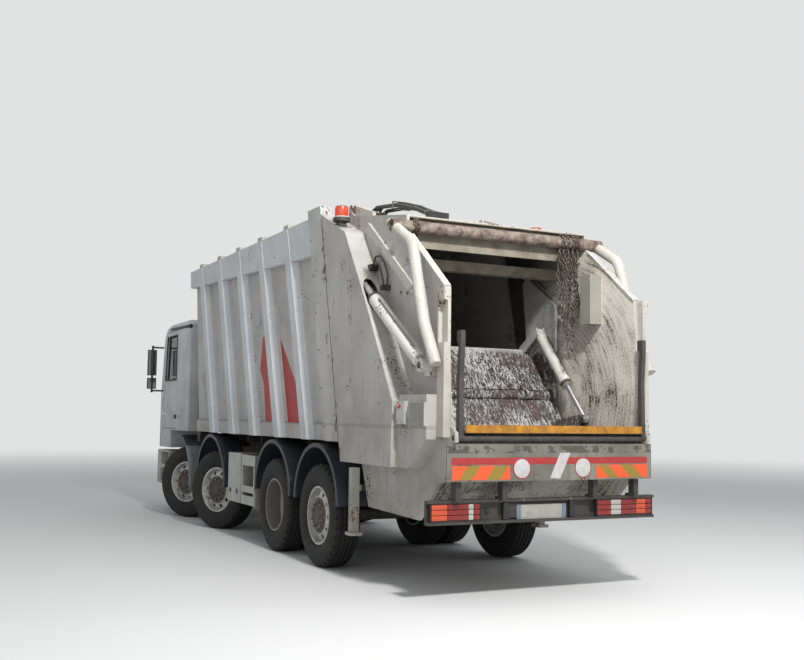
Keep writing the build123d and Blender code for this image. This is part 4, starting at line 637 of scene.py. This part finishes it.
nut_mesh = headed(0.0185, 0.024, 0.0025, 12, 0.010, 0.040, -0.006)
nut_mesh.transform(Matrix.Rotation(pi / 2, 4, "X"))
for number, word, place in wheels:
    seat = Matrix.Translation((0, -0.144 if number == 3 else 0.131, 0))
    spots = [
        place @ seat @ Matrix.Rotation(2 * pi * i / nut_count, 4, "Y") @ Matrix.Translation((0, 0, nut_circle / 2))
        for i in range(nut_count)
    ]
    give(copies(nut_mesh, spots), f"nuts_{number}_{word}", bolt_zinc, f"wheel_{number}_{word}")

# Chains. Welded steel chain of 11 mm wire, rusty brown; each strand hangs from a link round the cross tube,
# and a few links lie wound over the tube where the driver has thrown them.
link_pitch, half_straight, wind_radius = 0.0455, 0.0145, 0.071
bpy.ops.mesh.primitive_torus_add(major_segments=14, minor_segments=6, major_radius=0.0135, minor_radius=0.0055)
link = bpy.context.object
for corner in link.data.vertices:
    if abs(corner.co.x) > 0.0001:
        corner.co.x += half_straight if corner.co.x > 0 else -half_straight
edited(bpy.ops.transform.rotate, value=pi / 2, orient_axis="Y", center_override=(0, 0, 0))
bpy.ops.object.shade_smooth()
link_mesh = taken(link)
strand_table = [
    # offset to the side, number of links, sway of the lower end to the side in metres
    (-0.690, 14, 0.020), (-0.715, 16, -0.012), (-0.742, 18, 0.015), (-0.768, 24, 0.012), (-0.795, 17, -0.016),
    (-0.822, 16, 0.018), (-0.850, 17, -0.020), (-0.880, 15, 0.012), (-0.905, 13, 0.015), (0.930, 6, 0.0),
]
wound_table = [
    # offset to the side, angle of the first link in degrees, number of links
    (-0.700, -20, 9), (-0.760, 15, 9), (-0.830, -5, 10), (-0.885, 25, 8), (0.935, 0, 9), (0.965, 20, 7),
]
spots = []
for y, number, sway in strand_table:
    for i in range(number):
        lane = y + sway * sin(pi * i / number * 1.3)
        height = tube_z - 0.094 - link_pitch * i
        depth = tube_x - 0.024 + 0.014 * sin(3.1 * y * 40) + 0.008 * sin(1.7 * i + y * 9)
        turn = Matrix.Rotation(radians(45 + 90 * (i % 2) + 14 * sin(2.1 * i + y * 40)), 4, "Z")
        tip = Matrix.Rotation(0.30 * sin(2.7 * i + y * 60), 4, "X")
        spots.append(Matrix.Translation((depth, lane, height)) @ turn @ tip)
for y, first, number in wound_table:
    for i in range(number):
        ring = Matrix.Translation((tube_x, y + 0.010 * sin(3.0 * i), tube_z))
        ring = ring @ Matrix.Rotation(radians(first + 37 * i), 4, "Y") @ Matrix.Translation((wind_radius, 0, 0))
        spots.append(ring @ Matrix.Rotation(radians(70 * (i % 2) - 35), 4, "Z"))
strands = give(copies(link_mesh, spots), "chain_links", chain_steel, "tailgate")
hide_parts("chains")

# Sill markings. Reflective film stuck on the sill under the lip: a long red band, a block of leaning orange
# and olive bars at each side, two white discs with a red rim and one leaning white strip, all blank.


def cube(low, high, bevel=0.0, segments=2):
    """Block between two corners given by station, offset and height, with its edges rounded."""
    size = [b - a for a, b in zip(low, high)]
    x, y, z = [(a + b) / 2 for a, b in zip(low, high)]
    bpy.ops.object.select_all(action="DESELECT")
    bpy.ops.mesh.primitive_cube_add(size=1.0, location=(x - origin, y, z), scale=size)
    bpy.ops.object.transform_apply()
    if bevel:
        edited(bpy.ops.mesh.bevel, offset=bevel, segments=segments)
    return bpy.context.object


def rod(start, end, radius, sides=20, bevel=0.0):
    """Round bar between two points given by station, offset and height."""
    a, b = (Vector((x - origin, y, z)) for x, y, z in (start, end))
    bpy.ops.object.select_all(action="DESELECT")
    bpy.ops.mesh.primitive_cylinder_add(vertices=sides, radius=radius, depth=(b - a).length, location=(a + b) / 2)
    made = bpy.context.object
    made.rotation_euler = (b - a).to_track_quat("Z", "Y").to_euler()
    bpy.ops.object.transform_apply()
    if bevel:
        edited(bpy.ops.mesh.bevel, offset=bevel, segments=2)
    bpy.ops.object.shade_smooth_by_angle(angle=radians(40))
    return made


def raised(made, move):
    """Gives a flat face its thickness."""
    edited(bpy.ops.mesh.extrude_region_move, TRANSFORM_OT_translate={"value": move})
    edited(bpy.ops.mesh.normals_make_consistent, inside=False)
    return made


sill, bars_low, bars_high = -0.1045, 1.044, 1.162


def film(corners, thickness=0.0012):
    """Film on the sill's face with four corners given by offset and height."""
    bpy.ops.object.select_all(action="DESELECT")
    bpy.ops.mesh.primitive_plane_add(size=1.0)
    made = bpy.context.object
    for corner, (y, z) in zip(made.data.vertices, (corners[0], corners[1], corners[3], corners[2])):
        corner.co = (sill - origin, y, z)
    return raised(made, (-thickness, 0, 0))


give(film([(1.037, 1.172), (-1.032, 1.172), (-1.032, 1.230), (1.037, 1.230)]),
     "sill_red_band", red_film, "tailgate")
bar_table = [
    # the block's two ends, lean of its bars, then each bar's two ends at the lower edge
    (0.460, 1.030, -0.75, ((0.969, 1.120), (0.697, 0.840), (0.430, 0.562))),
    (-1.032, -0.450, 1.00, ((-0.591, -0.440), (-0.835, -0.703), (-1.150, -0.975))),
]
orange, olive = [], []
for y_low, y_high, lean, bars in bar_table:
    olive.append(film([(y_low, bars_low), (y_high, bars_low), (y_high, bars_high), (y_low, bars_high)], 0.0006))
    for y_from, y_to in bars:
        corners = [(y_from, bars_low), (y_to, bars_low), (y_to, bars_high), (y_from, bars_high)]
        # Each bar is cut off by its block's two ends
        orange.append(film([(min(max(y + lean * (z - bars_low), y_low), y_high), z) for y, z in corners]))
give(olive, "sill_olive_blocks", olive_film, "tailgate")
give(orange, "sill_orange_bars", orange_film, "tailgate")
give(film([(0.046, 1.052), (-0.060, 1.044), (-0.171, 1.271), (-0.059, 1.267)], 0.0016),
     "sill_white_strip", white_film, "tailgate")
discs, rings = [], []
rim_x = sill - 0.0018 - origin
for y, z in ((0.339, 1.136), (-0.307, 1.138)):
    discs.append(rod((sill + 0.001, y, z), (sill - 0.0022, y, z), 0.089, 40, 0.0006))
    bpy.ops.mesh.primitive_torus_add(
        major_segments=40, minor_segments=6, major_radius=0.0855, minor_radius=0.0050,
        location=(rim_x, y, z), rotation=(0, pi / 2, 0),
    )
    bpy.ops.object.transform_apply()
    ring = bpy.context.object
    for corner in ring.data.vertices:
        # The rim is a flat film, so its section is pressed to a third
        corner.co.x = rim_x + (corner.co.x - rim_x) * 0.35
    rings.append(ring)
give(discs, "sill_discs", white_film, "tailgate")
give(rings, "sill_disc_rims", red_film, "tailgate")

# Rear lamps. Each is a row of moulded acrylic lenses, red, orange and white, with three ribbed bands
# and a black rubber frame round them. The bands catch the light as bright lines.


def bars_round(low, high, width, bevel):
    """Four bars along the edges of a block's rear face."""
    (x, y, z), (to_x, to_y, to_z) = low, high
    bars = [cube((x, y, foot), (to_x, to_y, foot + width), bevel, 1) for foot in (z, to_z - width)]
    return bars + [cube((x, side, z), (to_x, side + width, to_z), bevel, 1) for side in (y, to_y - width)]


lens_table = [
    # offset to the side from and to, colour
    (1.010, 1.165, "orange"), (0.810, 1.008, "red"), (0.756, 0.808, "clear"), (0.694, 0.754, "red"),
    (-0.695, -0.545, "red"), (-0.815, -0.697, "clear"), (-0.985, -0.817, "red"), (-1.100, -0.987, "orange"),
    (-1.166, -1.102, "red"),
]
lens_of = {"red": red_lens, "orange": orange_lens, "clear": clear_lens}
made = {tint: [] for tint in lens_of}
for low, high, tint in lens_table:
    teeth = max(2, int((high - low) / 0.020))
    pitch = (high - low - 0.016) / teeth
    for row in range(3):
        z = 0.702 + 0.0455 * row
        made[tint].append(cube((-0.006, low + 0.001, z), (0.010, high - 0.001, z + 0.0425), 0.009, 3))
        for i in range(teeth):
            y, half = low + 0.008 + pitch * (i + 0.5), pitch * 0.36
            made[tint].append(cube((-0.009, y - half, z + 0.014), (-0.004, y + half, z + 0.0285), 0.0022, 1))
for tint, pieces in made.items():
    give(pieces, f"lamp_lenses_{tint}", lens_of[tint], "tailgate")
edges = []
for low, high in ((0.684, 1.176), (-1.176, -0.535)):
    edges += bars_round((-0.004, low, 0.6905), (0.006, high, 0.8485), 0.009, 0.002)
give(edges, "lamp_frames", black_plastic, "tailgate")

# Number plate seat. A blank pressed aluminium plate with a raised rim and a dull blue band at each end,
# between two black rubber blocks.
give(cube((0.0265, -0.215, 0.690), (0.0298, 0.305, 0.816), 0.0012, 1),
     "plate_blank", dull_plate, "tailgate")
bands = [cube((0.0252, y, 0.695), (0.0268, y + 0.038, 0.811)) for y in (0.262, -0.210)]
give(bands, "plate_blue_bands", blue_band, "tailgate")
give(bars_round((0.0245, -0.215, 0.690), (0.0268, 0.305, 0.816), 0.004, 0.0008),
     "plate_rim", dull_plate, "tailgate")
blocks = [cube((0.004, y, 0.694), (0.044, y + 0.055, 0.838), 0.006) for y in (0.400, -0.300)]
blocks.append(rod((0.046, 0.600, 0.768), (0.030, 0.600, 0.768), 0.022, 20, 0.003))
give(blocks, "bumper_rubbers", black_plastic, "tailgate")

# Control panel on the left side: a painted box with a red mushroom knob, a round switch, a cover seam and
# screws, and the grey junction box behind it with its cable gland.
knobs = [
    rod((0.510, 1.226, 1.660), (0.510, 1.2475, 1.660), 0.021, 20, 0.003),
    rod((0.475, 1.226, 1.660), (0.475, 1.236, 1.660), 0.010, 14, 0.002),
]
give(knobs, "panel_knob", knob_red, "tailgate")
screws = [rod((x, 1.226, z), (x, 1.231, z), 0.007, 10, 0.001) for x in (0.413, 0.547) for z in (1.513, 1.692)]
screws += [rod((x, 1.212, z), (x, 1.217, z), 0.006, 10, 0.001) for x in (0.072, 0.318) for z in (1.502, 1.678)]
screws.append(rod((0.480, 1.210, 1.503), (0.480, 1.210, 1.478), 0.012, 12, 0.002))
give(screws, "panel_screws", bolt_zinc, "tailgate")
give(cube((0.404, 1.2275, 1.504), (0.556, 1.2305, 1.701), 0.001, 1),
     "panel_cover", cover_paint, "tailgate")
give(cube((0.064, 1.2135, 1.494), (0.326, 1.2165, 1.686), 0.001, 1),
     "junction_cover", grey_box, "tailgate")

# Bolts. Hexagon heads of 20 mm across on a washer, zinc plated and browned, on the inner wall, the cylinder
# feet, the bumper and along the portal's flange.
bolt_mesh = headed(0.0115, 0.008, 0.0015, 14, 0.017, 0.002, -0.005)


def bolted(places, toward):
    """Matrices of bolts at points given by station, offset and height, facing a direction."""
    turn = Vector(toward).to_track_quat("Z", "Y").to_matrix().to_4x4()
    return [Matrix.Translation((x - origin, y, z)) @ turn for x, y, z in places]


def seam(height):
    """Station of the seam between body and tailgate at a height."""
    return 1.802 + (height - sill_height) * seam_lean


wall_table = [(1.245, 3.240), (1.085, 3.090), (0.930, 2.930), (0.890, 2.720), (0.760, 2.700), (0.560, 2.560)]
gate_spots, portal_spots = [], []
for side in (-1, 1):
    gate_spots += bolted([(x, side * 1.0355, z) for x, z in wall_table], (0, side, 0))
    gate_spots += bolted([(0.135, side * 1.1155, z) for z in (2.080, 1.940)], (0, side, 0))
    gate_spots += bolted([(-0.0005, side * y, 0.858) for y in (0.25, 0.48, 0.94)], (-1, 0, 0))
    flange = [(seam(z) + 0.330, side * 1.2535, z) for z in (1.45, 1.85, 2.25, 2.65, 3.05, 3.45)]
    portal_spots += bolted(flange, (0, side, 0))
give(copies(bolt_mesh, gate_spots), "tailgate_bolts", bolt_zinc, "tailgate")
give(copies(bolt_mesh, portal_spots), "portal_bolts", bolt_zinc, "chassis")

# Packer cylinders. Thin steel feed pipes with clamps along the barrels, a turned gland ring at each mouth
# and a cap on the outer ones' foot pins.
cylinder_table = [
    # name, body, foot, angle in degrees, the pipe's lift, offset out, ends and radius,
    # the clamps' lift, half width, radius and places, the gland's ends and radius
    ("outer", "tailgate", (0.190, 1.155, 2.010), 33.7, (0.072, 0.030, 0.20, 1.08, 0.008),
     (0.068, 0.014, 0.0125, (0.24, 0.66, 1.04)), (1.190, 1.226, 0.071)),
    ("inner", "blade_barrels", (1.400, 0.860, 2.470), 228.5, (-0.060, 0.020, 0.11, 0.66, 0.007),
     (-0.056, 0.012, 0.0115, (0.15, 0.60)), (0.716, 0.757, 0.0605)),
]


def on_barrel(foot, angle, side, distance, lift=0.0, out=0.0):
    """Point along a cylinder from its foot, lifted off its axis and moved out."""
    x = foot[0] + distance * cos(angle) - lift * sin(angle)
    z = foot[2] + distance * sin(angle) + lift * cos(angle)
    return (x, side * (foot[1] + out), z)


for name, body, foot, angle, pipe, clamp, gland in cylinder_table:
    lift, out, start, end, pipe_radius = pipe
    clamp_lift, half, clamp_radius, places = clamp
    pipes, rings = [], []
    for side in (-1, 1):
        barrel = (foot, radians(angle), side)
        pipes.append(rod(on_barrel(*barrel, start, lift, out), on_barrel(*barrel, end, lift, out), pipe_radius, 10))
        for distance in places:
            low, high = (on_barrel(*barrel, distance + half * way, clamp_lift, out) for way in (-1, 1))
            pipes.append(rod(low, high, clamp_radius, 12, 0.002))
        rings.append(rod(on_barrel(*barrel, gland[0]), on_barrel(*barrel, gland[1]), gland[2], 32, 0.004))
        if name == "outer":
            low, high = (on_barrel(*barrel, 0.0, 0.0, reach) for reach in (0.028, 0.052))
            rings.append(rod(low, high, 0.030, 24, 0.004))
    give(pipes, f"{name}_pipes", bolt_zinc, body)
    give(rings, f"{name}_glands", dark_steel, body)

# Beacons. Orange red ribbed lens on a pale ring, held by a dark rubber foot.
lens_radius, lens_ribs = 0.0665, 36
lenses, collars = [], []
for side in (-1, 1):
    x, y, base = 1.960, side * 1.190, 3.5478
    lenses.append(rod((x, y, base + 0.040), (x, y, base + 0.1560), lens_radius, 36, 0.010))
    for i in range(lens_ribs):
        turn = 2 * pi * i / lens_ribs
        rib = (x + lens_radius * cos(turn), y + lens_radius * sin(turn))
        lenses.append(rod((*rib, base + 0.052), (*rib, base + 0.142), 0.0024, 6))
    collars.append(rod((x, y, base + 0.0365), (x, y, base + 0.052), 0.0760, 36, 0.004))
give(lenses, "beacon_lenses", amber_lens, "tailgate")
give(collars, "beacon_collars", white_film, "tailgate")

# Hose ends. Crimped steel ferrules and hexagon unions where the rubber hoses leave their blocks,
# and a strap that holds the three thick ones together.
fittings = []
for y in (0.610, 0.680, 0.750):
    fittings.append(rod((2.195, y, 3.7135), (2.120, y, 3.7295), 0.0255, 18, 0.003))
    fittings.append(rod((0.882, y, 3.490), (0.935, y, 3.509), 0.0255, 18, 0.003))
fittings += bars_round((1.600, 0.580, 3.662), (1.630, 0.780, 3.744), 0.006, 0.002)
give(fittings, "hose_fittings", bolt_zinc, "tailgate")

# Red marks on the left panel. Two plain leaning red fields, one on each side of the fourth rib,
# cut from vinyl film and following the ribs' slope.
rib_foot, rib_head, rib_top = 3.580, 4.390, 3.700
rib_lean = (rib_head - rib_foot) / (rib_top - sill_height)
field_table = [
    # side of the rib, corners as offset from the rib's line and height, from the foot round to the top
    ("front", [(0.147, 1.482), (0.640, 1.482), (0.585, 1.940), (0.680, 2.120), (0.470, 2.520), (0.147, 2.520)]),
    ("rear", [(-0.1435, 1.482), (-0.560, 1.482), (-0.610, 1.770), (-0.1435, 2.470)]),
]
for name, corners in field_table:
    bpy.ops.object.select_all(action="DESELECT")
    bpy.ops.mesh.primitive_circle_add(vertices=len(corners), radius=1.0, fill_type="NGON")
    field = bpy.context.object
    for corner, (offset, height) in zip(field.data.vertices, corners):
        corner.co = (rib_foot + offset + (height - sill_height) * rib_lean - origin, 1.1505, height)
    give(raised(field, (0.0, 0.0010, 0.0)), f"red_field_{name}", red_decal, "chassis")

# Cab details. Black drip strip under the roof's edge, rubber seals round the door windows, recessed handles
# with round locks, mirror glass in the two heads of each mirror, and two wipers.
window = [(8.400, 2.090), (9.105, 2.090), (9.025, 2.790), (8.400, 2.800)]
mirror_glass = dusty("mirror_silvered_glass", "aeb4b8", "7f8285", 0.2, 0.06, metallic=1.0, depth=0.0001)


def on_side(side, low, high, *shape):
    """Block on one side of the cab, from corners given for the left side."""
    near, far = sorted((side * low[1], side * high[1]))
    return cube((low[0], near, low[2]), (high[0], far, high[2]), *shape)


trims, locks, glasses = [], [], []
for side, word in sides:
    body = f"door_{word}"
    seals = [
        rod((x, side * 1.2165, z), (to_x, side * 1.2165, to_z), 0.011, 10)
        for (x, z), (to_x, to_z) in zip(window, window[1:] + window[:1])
    ]
    give(seals, f"window_seal_{word}", black_plastic, body)
    handle = [
        on_side(side, (8.350, 1.2150, 1.480), (8.490, 1.2240, 1.545), 0.006),
        on_side(side, (8.362, 1.2230, 1.502), (8.478, 1.2330, 1.522), 0.004),
    ]
    give(handle, f"door_handle_{word}", black_plastic, body)
    lock = rod((8.415, side * 1.2150, 1.420), (8.415, side * 1.2200, 1.420), 0.013, 20, 0.002)
    give(lock, f"door_lock_{word}", bolt_zinc, body)
    trims.append(rod((7.700, side * 1.1960, 2.893), (8.860, side * 1.1960, 2.912), 0.031, 16, 0.005))
    locks.append(rod((8.180, side * 1.2150, 1.515), (8.180, side * 1.2210, 1.515), 0.019, 20, 0.003))
    for low, high in ((2.190, 2.590), (1.970, 2.130)):
        glasses.append(on_side(side, (9.2832, 1.340, low), (9.2852, 1.460, high), 0.0008, 1))
give(trims, "drip_strips", black_plastic, "cab")
give(locks, "cab_locks", black_plastic, "cab")
give(glasses, "mirror_glasses", mirror_glass, "cab")
wipers = []
for y in (0.55, -0.15):
    wipers.append(rod((9.456, y, 1.955), (9.424, y - 0.46, 2.135), 0.009, 10))
    wipers.append(rod((9.431, y - 0.16, 2.095), (9.418, y - 0.74, 2.170), 0.007, 10))
    wipers.append(rod((9.436, y, 1.940), (9.458, y, 1.951), 0.022, 14, 0.003))
give(wipers, "wipers", black_plastic, "cab")

# Head lamps and grille. Two round reflectors in black bezels in each unit, and a fine mesh of wire
# behind the grille's slats.
bowls, bezels = [], []
for y in (-0.800, -0.990, 0.800, 0.990):
    bowls.append(rod((9.4660, y, 0.750), (9.4688, y, 0.750), 0.072, 32, 0.0012))
    bezels.append(rod((9.4655, y, 0.750), (9.4675, y, 0.750), 0.084, 32, 0.0008))
give(bezels, "lamp_bezels", black_plastic, "chassis")
give(bowls, "lamp_reflectors", mirror_glass, "chassis")
wires = [rod((9.4508, y / 1000, 1.100), (9.4508, y / 1000, 1.735), 0.0016, 6) for y in range(-810, 820, 30)]
give(wires, "grille_mesh", black_plastic, "cab")

# Locker and steps. Folded aluminium door with a raised frame, two latches and a hinge, tread plate bars on
# the steps, and a filler cap with straps on the tank at the other side.
door = [
    cube((4.985, 1.2240, 0.480), (5.475, 1.2290, 1.040), 0.002, 1),
    cube((5.010, 1.2285, 0.505), (5.450, 1.2320, 1.015), 0.0015, 1),
    rod((4.985, 1.2290, 1.046), (5.475, 1.2290, 1.046), 0.008, 12),
]
give(door, "locker_door", locker_aluminium, "chassis")
latches = [cube((x, 1.2310, 0.560), (x + 0.050, 1.2390, 0.620), 0.003) for x in (5.070, 5.340)]
give(latches, "locker_latches", dark_steel, "chassis")
treads = []
for z in (1.0602, 0.6802, 0.5602):
    for i in range(11):
        x = 4.480 + 0.041 * i
        treads.append(cube((x, 0.975, z - 0.001), (x + 0.012, 1.215, z + 0.003), 0.001, 1))
give(treads, "step_treads", bolt_zinc, "chassis")
straps = [cube((x, -1.2125, 0.560), (x + 0.045, -1.2095, 0.960), 0.001, 1) for x in (4.640, 5.230)]
straps.append(rod((5.350, -1.000, 1.048), (5.350, -1.000, 1.085), 0.052, 24, 0.006))
give(straps, "tank_straps", dark_steel, "chassis")

# Door seam of the portal. A black rubber seal lies in the gap between body and tailgate, on both sides.
for side, word in sides:
    ends = [(seam(z) - 0.006, side * 1.2475, z) for z in (1.330, 3.640)]
    give(rod(*ends, 0.0052, 10), f"seam_seal_{word}", black_plastic, "chassis")
